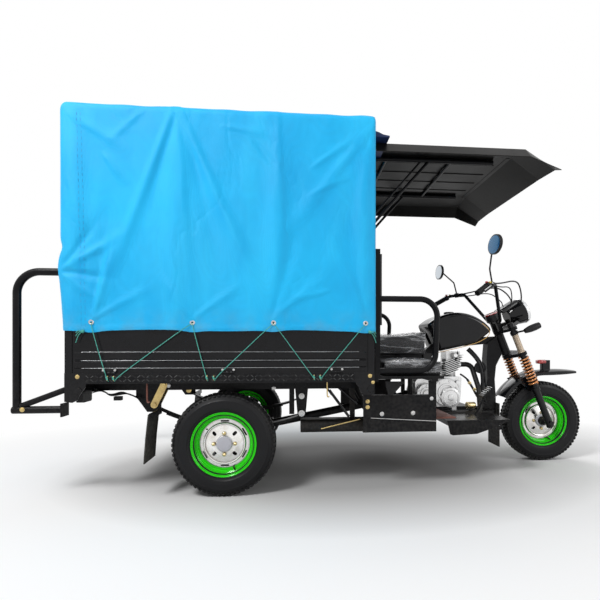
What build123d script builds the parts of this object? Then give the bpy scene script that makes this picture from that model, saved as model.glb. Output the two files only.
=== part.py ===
from build123d import *

import os
from math import asin, atan2, cos, degrees, radians, sin

os.makedirs("parts", exist_ok=True)

# A cargo motor tricycle with a covered load bed, a roofed bench seat in front of it and one
# steered front wheel. Millimetres, +X forward, +Y to the left, +Z up. The origin is on the
# ground, at the middle of the whole vehicle's box.

# Driving dimensions of the vehicle
wheelbase = 2080
track = 1040
rear_reach = 1046  # rear axle to the back of the rear hoops
bed_behind_axle = 767
cab_length = 1290  # front of the bed to the front axle
bed_width = 1240
deck_height = 655
side_height = 305
canopy_rise = 1072  # top of the bed walls to the top of the canopy
rake = 22  # steering axis, degrees back from upright

# Tyres and rims
tyre_radius = 272
tyre_width = 124
bead_radius = 152
flange_radius = 170
rim_width = 94
rim_sheet = 5

# Running gaps
seat_gap = 0.3
turn_gap = 1

# Places along the vehicle
rear_x = (rear_reach - wheelbase - tyre_radius) / 2
front_x = rear_x + wheelbase
bed_rear = rear_x - bed_behind_axle
bed_front = front_x - cab_length
bed_length = bed_front - bed_rear
half_bed = bed_width / 2
half_track = track / 2
wall_top = deck_height + side_height
canopy_top = wall_top + canopy_rise


def side_view(y):
    """The plane of a side view at a given distance to the left, local x forward, local y up."""
    return Plane.XZ.offset(-y)


def box_between(low, high):
    """A block in the part being built, given by its lowest and highest corners."""
    middle = tuple((a + b) / 2 for a, b in zip(low, high))
    with Locations(middle):
        Box(high[0] - low[0], high[1] - low[1], high[2] - low[2])


def share_points(shares, low, size):
    """Points given as shares of a size, counted from its lowest corner."""
    return [tuple(a + b * c for a, b, c in zip(low, point, size)) for point in shares]


def run_tube(points, radius, bend=None, mode=Mode.ADD):
    """A round bar along straight runs, joined by arcs of the given radius."""
    with BuildLine() as path:
        if len(points) > 2:
            FilletPolyline(*points, radius=bend)
        else:
            Line(*points)
    with BuildSketch(Plane(path.line @ 0, z_dir=path.line % 0)) as ring:
        Circle(radius)
    sweep(ring.sketch, path=path.line, mode=mode)


def cross_bar(x, z, radius, y_low, y_high):
    """A round bar across the vehicle between two distances to the left."""
    with BuildSketch(side_view(y_high)) as ring:
        with Locations((x, z)):
            Circle(radius)
    extrude(ring.sketch, amount=y_high - y_low)


def plate_outline(points, y, thickness, corner=0):
    """A flat plate in a side view, its thickness centred on y, with its corners rounded."""
    with BuildSketch(side_view(y)) as face:
        with BuildLine():
            Polyline(*points, close=True)
        make_face()
        if corner:
            fillet(face.vertices(), corner)
    extrude(face.sketch, amount=thickness / 2, both=True)


# Bed frame: two rails, cross members and the brackets that hold the front spring eyes

frame_top_drop = 55
frame_top = deck_height - frame_top_drop
rail_height = 55
rail_width = 50
rail_offset = 380
rail_half = rail_width / 2
member_height = 45
member_width = 50
member_share = (0.14, 0.38, 0.6, 0.82)
end_beam_half_inset = 24
end_beam_half = half_bed - end_beam_half_inset

eye_width = 48
eye_radius = 18
eye_bore = 8.5
pin_radius = 8
front_eye_ahead = 410
front_eye_x = rear_x + front_eye_ahead
front_eye_rise = 137
front_eye_z = tyre_radius + front_eye_rise
hanger_sheet = 6
hanger_top_radius = 38
hanger_low_radius = 24
hanger_half = eye_width / 2 + turn_gap

with BuildPart() as bed_frame:
    for side in (-1, 1):
        box_between(
            (bed_rear, side * rail_offset - rail_half, frame_top - rail_height),
            (bed_front, side * rail_offset + rail_half, frame_top),
        )
    for share in member_share:
        x = bed_rear + share * bed_length
        box_between(
            (x - member_width / 2, -rail_offset, frame_top - member_height),
            (x + member_width / 2, rail_offset, frame_top),
        )
    for x in (bed_rear, bed_front - member_width):
        box_between(
            (x, -end_beam_half, frame_top - member_height),
            (x + member_width, end_beam_half, frame_top),
        )
    for side in (-1, 1):
        for face in (-1, 1):
            y = side * rail_offset + face * (hanger_half + hanger_sheet / 2)
            with BuildSketch(side_view(y)) as cheek:
                with Locations((front_eye_x, frame_top - hanger_top_radius)):
                    Circle(hanger_top_radius)
                with Locations((front_eye_x, front_eye_z)):
                    Circle(hanger_low_radius)
                make_hull()
            extrude(cheek.sketch, amount=hanger_sheet / 2, both=True)
        with BuildSketch(side_view(side * rail_offset)) as pin:
            with Locations((front_eye_x, front_eye_z)):
                Circle(pin_radius)
        extrude(pin.sketch, amount=hanger_half + 2 * hanger_sheet, both=True)

bed_frame.part.label = "bed_frame"
export_step(bed_frame.part, "parts/bed_frame.step")

# Leaf springs: five leaves on each side, the longest with an eye at each end

leaf_count = 5
leaf_thickness = 7
axle_radius = 32
rear_eye_behind = 401
rear_eye_x = rear_x - rear_eye_behind
rear_eye_rise = 193
rear_eye_z = tyre_radius + rear_eye_rise
spring_seat = tyre_radius + axle_radius
spring_top = spring_seat + leaf_count * leaf_thickness
leaf_share = (1.0, 0.84, 0.67, 0.5, 0.33)
leaf_half = eye_width / 2

with BuildLine() as spring_line:
    ThreePointArc(
        (rear_eye_x, rear_eye_z - eye_radius + leaf_thickness),
        (rear_x, spring_top),
        (front_eye_x, front_eye_z - eye_radius + leaf_thickness),
    )
spring_arc = spring_line.edges()[0]
spring_centre = spring_arc.arc_center
spring_radius = spring_arc.radius
seat_angle = degrees(atan2(spring_top - spring_centre.Y, rear_x - spring_centre.X))
rear_span = degrees(asin((rear_x - rear_eye_x) / spring_radius))
front_span = degrees(asin((front_eye_x - rear_x) / spring_radius))

with BuildPart() as leaf_springs:
    for side in (-1, 1):
        for leaf, share in enumerate(leaf_share):
            inner = spring_radius + leaf * leaf_thickness
            start = seat_angle - share * rear_span
            sweep_angle = share * (rear_span + front_span)
            with BuildSketch(side_view(side * rail_offset)) as strip:
                with BuildLine():
                    low = CenterArc(spring_centre, inner + leaf_thickness, start, sweep_angle)
                    top = CenterArc(spring_centre, inner, start, sweep_angle)
                    Line(low @ 0, top @ 0)
                    Line(low @ 1, top @ 1)
                make_face()
            extrude(strip.sketch, amount=leaf_half, both=True)
        for x, z in ((rear_eye_x, rear_eye_z), (front_eye_x, front_eye_z)):
            with BuildSketch(side_view(side * rail_offset)) as eye:
                with Locations((x, z)):
                    Circle(eye_radius)
            extrude(eye.sketch, amount=leaf_half, both=True)
            with BuildSketch(side_view(side * rail_offset)) as bore:
                with Locations((x, z)):
                    Circle(eye_bore)
            extrude(bore.sketch, amount=leaf_half, both=True, mode=Mode.SUBTRACT)

leaf_springs.part.label = "leaf_springs"
export_step(leaf_springs.part, "parts/leaf_springs.step")

# Spring shackles: plated links from the rails to the rear spring eyes

shackle_top_behind = 350
shackle_top_x = rear_x - shackle_top_behind
shackle_top_z = frame_top - rail_height / 2
shackle_radius = 19
shackle_sheet = 7
shackle_head_radius = 12
shackle_head = 8
guard_sheet = 4
guard_y = rail_offset + rail_half + guard_sheet / 2

with BuildPart() as spring_shackles:
    for side in (-1, 1):
        inner_face = rail_offset - rail_half
        outer_face = rail_offset + rail_half + guard_sheet + seat_gap
        for low, high in (
            (inner_face - shackle_sheet, inner_face),
            (outer_face, outer_face + shackle_sheet),
        ):
            with BuildSketch(side_view(side * (low + high) / 2)) as link:
                with Locations((shackle_top_x, shackle_top_z), (rear_eye_x, rear_eye_z)):
                    Circle(shackle_radius)
                make_hull()
            extrude(link.sketch, amount=(high - low) / 2, both=True)
        ends = (inner_face - shackle_sheet, outer_face + shackle_sheet + shackle_head)
        low, high = sorted(side * end for end in ends)
        cross_bar(rear_eye_x, rear_eye_z, pin_radius, low, high)
        ends = (outer_face + shackle_sheet, outer_face + shackle_sheet + shackle_head)
        low, high = sorted(side * end for end in ends)
        cross_bar(shackle_top_x, shackle_top_z, shackle_head_radius, low, high)
        cross_bar(rear_eye_x, rear_eye_z, shackle_head_radius, low, high)

spring_shackles.part.label = "spring_shackles"
export_step(spring_shackles.part, "parts/spring_shackles.step")

# Rear axle: tube, differential, drive shaft, spring pads and brake back plates

axle_half_inset = 75
axle_half = half_track - axle_half_inset
axle_bore = 18
backplate_radius = 96
backplate_sheet = 8
diff_radius = 108
diff_half = 62
diff_rim_half = 16
pinion_length = 190
pinion_radius = 42
shaft_radius = 26
joint_radius = 38
joint_length = 46
pad_length = 80
pad_drop = 26
pad_rise = 5
engine_rear_ahead = 375
engine_rear = bed_front + engine_rear_ahead
output_z = 450
output_boss = 12

with BuildPart() as rear_axle:
    with BuildSketch(Plane.XZ.offset(axle_half)) as barrel:
        with Locations((rear_x, tyre_radius)):
            Circle(axle_radius)
    extrude(barrel.sketch, amount=-2 * axle_half)
    with BuildSketch(Plane.XY.offset(tyre_radius)) as casing:
        with BuildLine():
            Polyline(
                (rear_x, -diff_half),
                (rear_x + axle_radius, -diff_half),
                (rear_x + diff_radius, -diff_rim_half),
                (rear_x + diff_radius, diff_rim_half),
                (rear_x + axle_radius, diff_half),
                (rear_x, diff_half),
                close=True,
            )
        make_face()
    revolve(casing.sketch, axis=Axis((rear_x, 0, tyre_radius), (0, 1, 0)))
    run_tube(
        ((rear_x, 0, tyre_radius), (rear_x + pinion_length, 0, tyre_radius)), pinion_radius
    )
    shaft_start = Vector(rear_x + pinion_length, 0, tyre_radius)
    flange_front = engine_rear - output_boss - seat_gap
    shaft_end = Vector(flange_front - joint_length, 0, output_z)
    shaft_way = (shaft_end - shaft_start).normalized()
    run_tube((shaft_start - shaft_way * joint_length, shaft_end), shaft_radius)
    run_tube((shaft_start, shaft_start + shaft_way * joint_length), joint_radius)
    run_tube((tuple(shaft_end), (flange_front, 0, output_z)), joint_radius)
    run_tube(
        (shaft_end - shaft_way * joint_length * 2, shaft_end - shaft_way * joint_length),
        joint_radius,
    )
    for side in (-1, 1):
        box_between(
            (rear_x - pad_length / 2, side * rail_offset - leaf_half, spring_seat - pad_drop),
            (rear_x + pad_length / 2, side * rail_offset + leaf_half, spring_seat + pad_rise),
        )
        with BuildSketch(side_view(side * (axle_half - backplate_sheet / 2))) as disc:
            with Locations((rear_x, tyre_radius)):
                Circle(backplate_radius)
        extrude(disc.sketch, amount=backplate_sheet / 2, both=True)
        with BuildSketch(side_view(side * axle_half)) as bore:
            with Locations((rear_x, tyre_radius)):
                Circle(axle_bore)
        extrude(bore.sketch, amount=backplate_radius, both=True, mode=Mode.SUBTRACT)
    add(leaf_springs.part, mode=Mode.SUBTRACT)

rear_axle.part.label = "rear_axle"
export_step(rear_axle.part, "parts/rear_axle.step")

# Bed floor: the deck, its joists, and side rails with a lobed plate at each corner

deck_sheet = 12
joist_width = 40
joist_share = (0.12, 0.31, 0.5, 0.69, 0.88)
rail_lip = 24
corner_sheet = 6
corner_length = 100
corner_low_drop = 148
corner_low = deck_height - corner_low_drop
corner_step_drop = 70
corner_step = deck_height - corner_step_drop
front_corner_low_drop = 122
front_corner_low = deck_height - front_corner_low_drop
end_channel = 40

with BuildPart() as bed_floor:
    box_between(
        (bed_rear, -half_bed, deck_height - deck_sheet), (bed_front, half_bed, deck_height)
    )
    for side in (-1, 1):
        low = min(side * half_bed, side * (half_bed - rail_lip))
        box_between((bed_rear, low, frame_top), (bed_front, low + rail_lip, deck_height))
        y = side * (half_bed - corner_sheet / 2)
        plate_outline(
            (
                (bed_rear, deck_height - deck_sheet),
                (bed_rear, corner_low + corner_sheet),
                (bed_rear + corner_length * 0.38, corner_low),
                (bed_rear + corner_length * 0.62, corner_low + corner_sheet * 2),
                (bed_rear + corner_length * 0.72, corner_low + corner_length * 0.36),
                (bed_rear + corner_length, corner_step),
                (bed_rear + corner_length * 1.1, deck_height - deck_sheet),
            ),
            y,
            corner_sheet,
        )
        plate_outline(
            (
                (bed_front, deck_height - deck_sheet),
                (bed_front - corner_length, deck_height - deck_sheet),
                (bed_front - corner_length, frame_top - corner_sheet),
                (bed_front - corner_length * 0.6, front_corner_low),
                (bed_front, front_corner_low),
            ),
            y,
            corner_sheet,
        )
    for share in joist_share:
        x = bed_rear + share * bed_length
        box_between(
            (x - joist_width / 2, rail_lip - half_bed, frame_top),
            (x + joist_width / 2, half_bed - rail_lip, deck_height),
        )
    for x in (bed_rear, bed_front - end_channel):
        box_between(
            (x, rail_lip - half_bed, frame_top), (x + end_channel, half_bed - rail_lip, deck_height)
        )

bed_floor.part.label = "bed_floor"
export_step(bed_floor.part, "parts/bed_floor.step")

# Corner posts of the load bed, the rear pair with a face beside the tailgate

post_width = 35
post_outer_inset = 3
post_outer = half_bed - post_outer_inset
gate_half_inset = 140
gate_half = half_bed - gate_half_inset
gate_gap = 7
post_sheet = 30

with BuildPart() as corner_posts:
    for side in (-1, 1):
        outer = side * post_outer
        inner = side * (post_outer - post_sheet)
        low, high = min(outer, inner), max(outer, inner)
        box_between((bed_front - post_width, low, deck_height), (bed_front, high, wall_top))
        box_between((bed_rear, low, deck_height), (bed_rear + post_width, high, wall_top))
        near = side * (gate_half + gate_gap)
        low, high = min(near, inner), max(near, inner)
        box_between((bed_rear, low, deck_height), (bed_rear + post_sheet / 2, high, wall_top))

corner_posts.part.label = "corner_posts"
export_step(corner_posts.part, "parts/corner_posts.step")

# Side panels of the load bed: a flat wall with a rolled top edge and two pressed ribs

panel_sheet = 20
panel_outer_inset = 6
panel_outer = half_bed - panel_outer_inset
panel_gap = 1
rib_height = 5
# low and high edge of each rib, up the wall
rib_share = ((0.075, 0.193), (0.207, 0.341))
ribs = [[deck_height + edge * side_height for edge in rib] for rib in rib_share]
rib_slope = 6
rib_inset = 8
top_roll = 26

panel_rear = bed_rear + post_width + panel_gap
panel_front = bed_front - post_width - panel_gap


def build_side_panel(side):
    """One side wall of the bed, standing on the deck between its posts."""
    face = side * panel_outer
    back = side * (panel_outer - panel_sheet)
    with BuildPart() as panel:
        box_between(
            (panel_rear, min(face, back), deck_height),
            (panel_front, max(face, back), wall_top),
        )
        for low, high in ribs:
            with BuildSketch(Plane.YZ.offset(panel_rear + rib_inset)) as ridge:
                with BuildLine():
                    Polyline(
                        (face, low),
                        (face + side * rib_height, low + rib_slope),
                        (face + side * rib_height, high - rib_slope),
                        (face, high),
                        close=True,
                    )
                make_face()
            extrude(ridge.sketch, amount=panel_front - panel_rear - 2 * rib_inset)
        with BuildSketch(Plane.YZ.offset(panel_rear)) as roll:
            with Locations((back, wall_top - top_roll / 2)):
                Circle(top_roll / 2)
        extrude(roll.sketch, amount=panel_front - panel_rear)
    return panel


side_panel_left = build_side_panel(1)
side_panel_left.part.label = "side_panel_left"
export_step(side_panel_left.part, "parts/side_panel_left.step")

side_panel_right = build_side_panel(-1)
side_panel_right.part.label = "side_panel_right"
export_step(side_panel_right.part, "parts/side_panel_right.step")

# Front wall of the load bed

front_wall_half = post_outer - post_sheet - panel_gap

with BuildPart() as bed_front_wall:
    box_between(
        (bed_front - panel_sheet, -front_wall_half, deck_height),
        (bed_front, front_wall_half, wall_top),
    )
    for low, high in ribs:
        box_between(
            (bed_front - panel_sheet - rib_height, -front_wall_half + top_roll, low),
            (bed_front - panel_sheet, front_wall_half - top_roll, high),
        )

bed_front_wall.part.label = "bed_front_wall"
export_step(bed_front_wall.part, "parts/bed_front_wall.step")

# Tailgate: hinged along its foot behind the deck

gate_foot_rise = 5
gate_foot = deck_height + gate_foot_rise
gate_sheet = 22
gate_axis_behind = 14
gate_axis_x = bed_rear - gate_axis_behind
gate_axis_drop = 8
gate_axis_z = deck_height - gate_axis_drop
knuckle_radius = 9
knuckle_length = 70
knuckle_share = (-0.8, 0.0, 0.8)
gate_pin_radius = 4.5

with BuildPart() as tailgate:
    box_between((bed_rear, -gate_half, gate_foot), (bed_rear + gate_sheet, gate_half, wall_top))
    for low, high in ribs:
        box_between(
            (bed_rear - rib_height, -gate_half + top_roll, low),
            (bed_rear, gate_half - top_roll, high),
        )
    for share in knuckle_share:
        y = share * gate_half
        with BuildSketch(side_view(y + knuckle_length / 2)) as knuckle:
            with Locations((gate_axis_x, gate_axis_z)):
                Circle(knuckle_radius)
        extrude(knuckle.sketch, amount=knuckle_length)
        box_between(
            (gate_axis_x - knuckle_radius, y - knuckle_length / 2, gate_axis_z),
            (bed_rear, y + knuckle_length / 2, gate_foot + 2 * knuckle_radius),
        )
        with BuildSketch(side_view(y + knuckle_length / 2)) as bore:
            with Locations((gate_axis_x, gate_axis_z)):
                Circle(gate_pin_radius + turn_gap / 2)
        extrude(bore.sketch, amount=knuckle_length, mode=Mode.SUBTRACT)

tailgate.part.label = "tailgate"
export_step(tailgate.part, "parts/tailgate.step")

# Tailgate hinges: pins between pairs of ears on the rear end of the deck

ear_sheet = 6
ear_gap = 1
ear_drop = 2

with BuildPart() as gate_hinges:
    for share in knuckle_share:
        y = share * gate_half
        reach = knuckle_length / 2 + ear_gap + ear_sheet
        with BuildSketch(side_view(y + reach)) as pin:
            with Locations((gate_axis_x, gate_axis_z)):
                Circle(gate_pin_radius)
        extrude(pin.sketch, amount=2 * reach)
        for face in (-1, 1):
            middle = y + face * (knuckle_length / 2 + ear_gap + ear_sheet / 2)
            with BuildSketch(side_view(middle)) as ear:
                with Locations((gate_axis_x, gate_axis_z)):
                    Circle(knuckle_radius)
                with BuildLine():
                    Polyline(
                        (bed_rear, deck_height - ear_drop),
                        (bed_rear, deck_height - ear_drop - 4 * knuckle_radius),
                        (gate_axis_x, gate_axis_z - knuckle_radius),
                        (gate_axis_x, gate_axis_z + knuckle_radius / 2),
                        close=True,
                    )
                make_face()
            extrude(ear.sketch, amount=ear_sheet / 2, both=True)

gate_hinges.part.label = "gate_hinges"
export_step(gate_hinges.part, "parts/gate_hinges.step")

# Rear hoops: a bent tube on each side, with a foot bar and a slanting brace

hoop_radius = 19
hoop_inset = 64
hoop_y = half_bed - hoop_inset
hoop_back = rear_x - rear_reach + hoop_radius
hoop_high_rise = 206
hoop_high = wall_top + hoop_high_rise
hoop_low_drop = 134
hoop_low = frame_top - hoop_low_drop
hoop_bend = 110
bow_radius = 12
bow_inset = 60
bow_y = half_bed - bow_inset
bow_share = (0.0289, 0.345, 0.67, 0.965)
hoop_front = bed_rear + bow_share[0] * bed_length - bow_radius - seat_gap
hoop_foot_behind = 35
hoop_foot = bed_rear - hoop_foot_behind
brace_radius = 15
foot_plate = 8
foot_plate_half = 34

with BuildPart() as rear_hoops:
    for side in (-1, 1):
        y = side * hoop_y
        run_tube(
            (
                (hoop_front, y, hoop_high),
                (hoop_back, y, hoop_high),
                (hoop_back, y, hoop_low),
            ),
            hoop_radius,
            hoop_bend,
        )
        run_tube(((hoop_back - hoop_radius, y, hoop_low), (hoop_foot, y, hoop_low)), hoop_radius)
        run_tube(
            (
                (hoop_back + hoop_radius, y, hoop_low + hoop_radius),
                (bed_rear - brace_radius * 0.7, y, frame_top - brace_radius * 1.8),
            ),
            brace_radius,
        )
        box_between(
            (hoop_foot, y - foot_plate_half, hoop_low - foot_plate_half),
            (hoop_foot + foot_plate, y + foot_plate_half, hoop_low + foot_plate_half),
        )

rear_hoops.part.label = "rear_hoops"
export_step(rear_hoops.part, "parts/rear_hoops.step")

# Wheels: a tyre, and a green rim with a slotted centre disc and hub, at each place

tyre_shoulder = 52
shoulder_radius_drop = 16
shoulder_radius = tyre_radius - shoulder_radius_drop
crown_half = 46
crown_edge_drop = 5
crown_edge = tyre_radius - crown_edge_drop
bead_half = rim_width / 2 - rim_sheet - 1
well_radius = 128
well_half = 20
disc_sheet = 5
dish = 22
hub_radius = 34
hub_cap_radius = 27
slot_circle = 94
slot_length = 52
slot_width = 24
slot_count = 4
nut_count = 4
nut_circle = 56
nut_radius = 10
nut_height = 12
stub_radius = axle_bore - turn_gap / 2
stub_reach = 62
front_axle_radius = 8
front_hub_half = 66
drum_radius = 78

wheel_places = (
    # name, y of the wheel's middle, direction of its outer face, x of its axle
    ("rear_left", half_track, 1, rear_x),
    ("rear_right", -half_track, -1, rear_x),
    ("front", 0, -1, front_x),
)


def wheel_plane(x, y, out):
    """A plane through a wheel's axis: local x across the wheel to its outer face, local y up."""
    return Plane(origin=(x, y, tyre_radius), x_dir=(0, out, 0), z_dir=(out, 0, 0))


for name, wheel_y, out, wheel_x in wheel_places:
    spin_axis = Axis((wheel_x, wheel_y, tyre_radius), (0, 1, 0))
    across = wheel_plane(wheel_x, wheel_y, out)
    with BuildPart() as tyre:
        with BuildSketch(across) as section:
            with BuildLine():
                bead_line = Line(
                    (-bead_half, bead_radius + seat_gap), (bead_half, bead_radius + seat_gap)
                )
                right_low = Line(bead_line @ 1, (bead_half, flange_radius))
                ThreePointArc(
                    right_low @ 1,
                    (tyre_width / 2, (flange_radius + shoulder_radius) / 2),
                    (tyre_shoulder, shoulder_radius),
                )
                Line((tyre_shoulder, shoulder_radius), (crown_half, crown_edge))
                ThreePointArc((crown_half, crown_edge), (0, tyre_radius), (-crown_half, crown_edge))
                Line((-crown_half, crown_edge), (-tyre_shoulder, shoulder_radius))
                ThreePointArc(
                    (-tyre_shoulder, shoulder_radius),
                    (-tyre_width / 2, (flange_radius + shoulder_radius) / 2),
                    (-bead_half, flange_radius),
                )
                Line((-bead_half, flange_radius), (-bead_half, bead_radius + seat_gap))
            make_face()
        revolve(section.sketch, axis=spin_axis)
    tyre.part.label = f"{name}_tyre"
    export_step(tyre.part, f"parts/{name}_tyre.step")

    with BuildPart() as wheel:
        with BuildSketch(across) as section:
            with BuildLine():
                half = rim_width / 2
                Polyline(
                    (-half, flange_radius),
                    (rim_sheet - half, flange_radius),
                    (rim_sheet - half, bead_radius),
                    (-well_half, bead_radius - rim_sheet / 2),
                    (-well_half, well_radius + rim_sheet),
                    (well_half, well_radius + rim_sheet),
                    (well_half, bead_radius - rim_sheet / 2),
                    (half - rim_sheet, bead_radius),
                    (half - rim_sheet, flange_radius),
                    (half, flange_radius),
                    (half, bead_radius - rim_sheet),
                    (well_half + rim_sheet, bead_radius - 1.5 * rim_sheet),
                    (well_half + rim_sheet, well_radius),
                    (-well_half - rim_sheet, well_radius),
                    (-well_half - rim_sheet, bead_radius - 1.5 * rim_sheet),
                    (-half, bead_radius - rim_sheet),
                    close=True,
                )
            make_face()
        revolve(section.sketch, axis=spin_axis)
        with BuildSketch(across) as section:
            with BuildLine():
                Polyline(
                    (0, well_radius + rim_sheet / 2),
                    (disc_sheet, well_radius + rim_sheet / 2),
                    (disc_sheet, slot_circle + slot_width),
                    (dish, slot_circle - slot_width),
                    (dish, 0),
                    (dish - disc_sheet, 0),
                    (dish - disc_sheet, slot_circle - slot_width - disc_sheet),
                    (0, slot_circle + slot_width - disc_sheet),
                    close=True,
                )
            make_face()
        revolve(section.sketch, axis=spin_axis)
        face_plane = Plane(
            origin=(wheel_x, wheel_y + out * dish, tyre_radius), x_dir=(1, 0, 0), z_dir=(0, out, 0)
        )
        with BuildSketch(face_plane) as slots:
            with PolarLocations(slot_circle, slot_count, start_angle=45):
                SlotOverall(slot_length, slot_width, rotation=90)
        extrude(slots.sketch, amount=dish, both=True, mode=Mode.SUBTRACT)
        with BuildSketch(face_plane) as nuts:
            with PolarLocations(nut_circle, nut_count):
                RegularPolygon(nut_radius, 6)
        extrude(nuts.sketch, amount=nut_height)
        with BuildSketch(face_plane) as cap:
            Circle(hub_radius)
        extrude(cap.sketch, amount=nut_height)
        with BuildSketch(face_plane.offset(nut_height)) as cap:
            Circle(hub_cap_radius)
        extrude(cap.sketch, amount=nut_height)
        if name == "front":
            with BuildSketch(face_plane.offset(-dish - front_hub_half)) as hub:
                Circle(hub_radius)
            extrude(hub.sketch, amount=2 * front_hub_half)
            with BuildSketch(face_plane.offset(-dish - front_hub_half)) as drum:
                Circle(drum_radius)
            extrude(drum.sketch, amount=front_hub_half)
            with BuildSketch(face_plane.offset(-dish)) as bore:
                Circle(front_axle_radius + turn_gap / 2)
            extrude(bore.sketch, amount=2 * front_hub_half, both=True, mode=Mode.SUBTRACT)
        else:
            drum_length = half_track - axle_half - backplate_sheet
            with BuildSketch(face_plane.offset(-dish - drum_length)) as drum:
                Circle(drum_radius)
            extrude(drum.sketch, amount=drum_length + dish)
            with BuildSketch(face_plane.offset(-dish - drum_length - stub_reach)) as stub:
                Circle(stub_radius)
            extrude(stub.sketch, amount=stub_reach)
    wheel.part.label = f"{name}_wheel"
    export_step(wheel.part, f"parts/{name}_wheel.step")

# Wheel guard plates: a skirt inside each rear wheel with an arch cut round the tyre

guard_rear_behind = 500
guard_rear = rear_x - guard_rear_behind
guard_front = front_eye_x - hanger_top_radius - 3 * turn_gap
guard_foot_rear_behind = 440
guard_foot_rear = rear_x - guard_foot_rear_behind
guard_foot_front_behind = 365
guard_foot_front = rear_x - guard_foot_front_behind
guard_low_drop = 175
guard_low = frame_top - guard_low_drop
guard_step_drop = 90
guard_step = frame_top - guard_step_drop
guard_front_low_drop = 198
guard_front_low = frame_top - guard_front_low_drop
guard_front_inner_ahead = 340
guard_front_inner = rear_x + guard_front_inner_ahead
arch_radius = 345
flap_sheet = 6
flap_behind = 372
flap_x = rear_x - flap_behind
flap_half = 84
flap_bar_low_drop = 184
flap_bar_low = frame_top - flap_bar_low_drop
flap_bar_high_drop = 154
flap_bar_high = frame_top - flap_bar_high_drop

with BuildPart() as wheel_guards:
    for side in (-1, 1):
        plate_outline(
            (
                (guard_rear, frame_top),
                (guard_rear, guard_step),
                (guard_foot_rear, guard_low),
                (guard_foot_front, guard_low),
                (guard_foot_front, frame_top - rail_height),
                (guard_front_inner, frame_top - rail_height),
                (guard_front_inner, guard_front_low),
                (guard_front, guard_front_low),
                (guard_front, frame_top),
            ),
            side * guard_y,
            guard_sheet,
        )
        with BuildSketch(side_view(side * guard_y)) as arch:
            with Locations((rear_x, tyre_radius)):
                Circle(arch_radius)
        extrude(arch.sketch, amount=guard_sheet, both=True, mode=Mode.SUBTRACT)
        with BuildSketch(side_view(side * guard_y)) as pin_hole:
            with Locations((rear_eye_x, rear_eye_z)):
                Circle(eye_bore)
        extrude(pin_hole.sketch, amount=guard_sheet, both=True, mode=Mode.SUBTRACT)
        low, high = sorted((side * guard_y, side * (half_track + flap_half)))
        box_between(
            (flap_x + flap_sheet, low, flap_bar_low),
            (flap_x + flap_sheet + guard_sheet, high, flap_bar_high),
        )

wheel_guards.part.label = "wheel_guards"
export_step(wheel_guards.part, "parts/wheel_guards.step")

# Mudflaps: a hanging rubber sheet behind each rear wheel and one behind the front wheel

flap_top_drop = 159
flap_top = frame_top - flap_top_drop
flap_low = 190
flap_lean = 22
channel_front_ahead = 956
channel_front = bed_front + channel_front_ahead
front_flap_x = channel_front + seat_gap
front_flap_top = 400
front_flap_low = 108
front_flap_half = 78

with BuildPart() as mudflaps:
    for side in (-1, 1):
        plate_outline(
            (
                (flap_x, flap_top),
                (flap_x + flap_sheet, flap_top),
                (flap_x - flap_lean * 0.6 + flap_sheet, (flap_top + flap_low) / 2),
                (flap_x - flap_lean + flap_sheet, flap_low),
                (flap_x - flap_lean, flap_low),
                (flap_x - flap_lean * 0.6, (flap_top + flap_low) / 2),
            ),
            side * half_track,
            2 * flap_half,
        )
    box_between(
        (front_flap_x, -front_flap_half, front_flap_low),
        (front_flap_x + flap_sheet, front_flap_half, front_flap_top),
    )

mudflaps.part.label = "mudflaps"
export_step(mudflaps.part, "parts/mudflaps.step")

# Tail lamps under the rear edge of the bed

lamp_width = 100
lamp_height = 62
lamp_depth = 34
lamp_y = 465
lamp_top = frame_top - member_height - seat_gap
lamp_inset = 4
lamp_round = 12

with BuildPart() as tail_lamps:
    for side in (-1, 1):
        with BuildSketch(Plane.YZ.offset(bed_rear + lamp_inset)) as lens:
            with Locations((side * lamp_y, lamp_top - lamp_height / 2)):
                RectangleRounded(lamp_width, lamp_height, lamp_round)
        extrude(lens.sketch, amount=lamp_depth)

tail_lamps.part.label = "tail_lamps"
export_step(tail_lamps.part, "parts/tail_lamps.step")

# Canopy frame: hoops over the bed with long tubes along the roof

bow_top_drop = 47
bow_top = canopy_top - bow_top_drop
bow_bend = 90
ridge_radius = 9
ridge_share = (-0.55, 0.0, 0.55)

with BuildPart() as canopy_frame:
    for share in bow_share:
        x = bed_rear + share * bed_length
        run_tube(
            (
                (x, -bow_y, deck_height),
                (x, -bow_y, bow_top),
                (x, bow_y, bow_top),
                (x, bow_y, deck_height),
            ),
            bow_radius,
            bow_bend,
        )
    for share in ridge_share:
        y = share * bow_y
        run_tube(
            (
                (bed_rear + bow_share[0] * bed_length, y, bow_top),
                (bed_rear + bow_share[-1] * bed_length, y, bow_top),
            ),
            ridge_radius,
        )

canopy_frame.part.label = "canopy_frame"
export_step(canopy_frame.part, "parts/canopy_frame.step")

# Canopy cover: one skin over the roof, both sides, the front and a strip round the back edge

cover_sheet = 6
cover_side_out = 12
cover_side = half_bed + cover_side_out
cover_back_behind = 30
cover_back = bed_rear - cover_back_behind
cover_front_ahead = 8
cover_front = bed_front + cover_front_ahead
cover_hem_drop = 94
cover_hem = wall_top - cover_hem_drop
cover_round = 28
curtain_lap = 5

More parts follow.
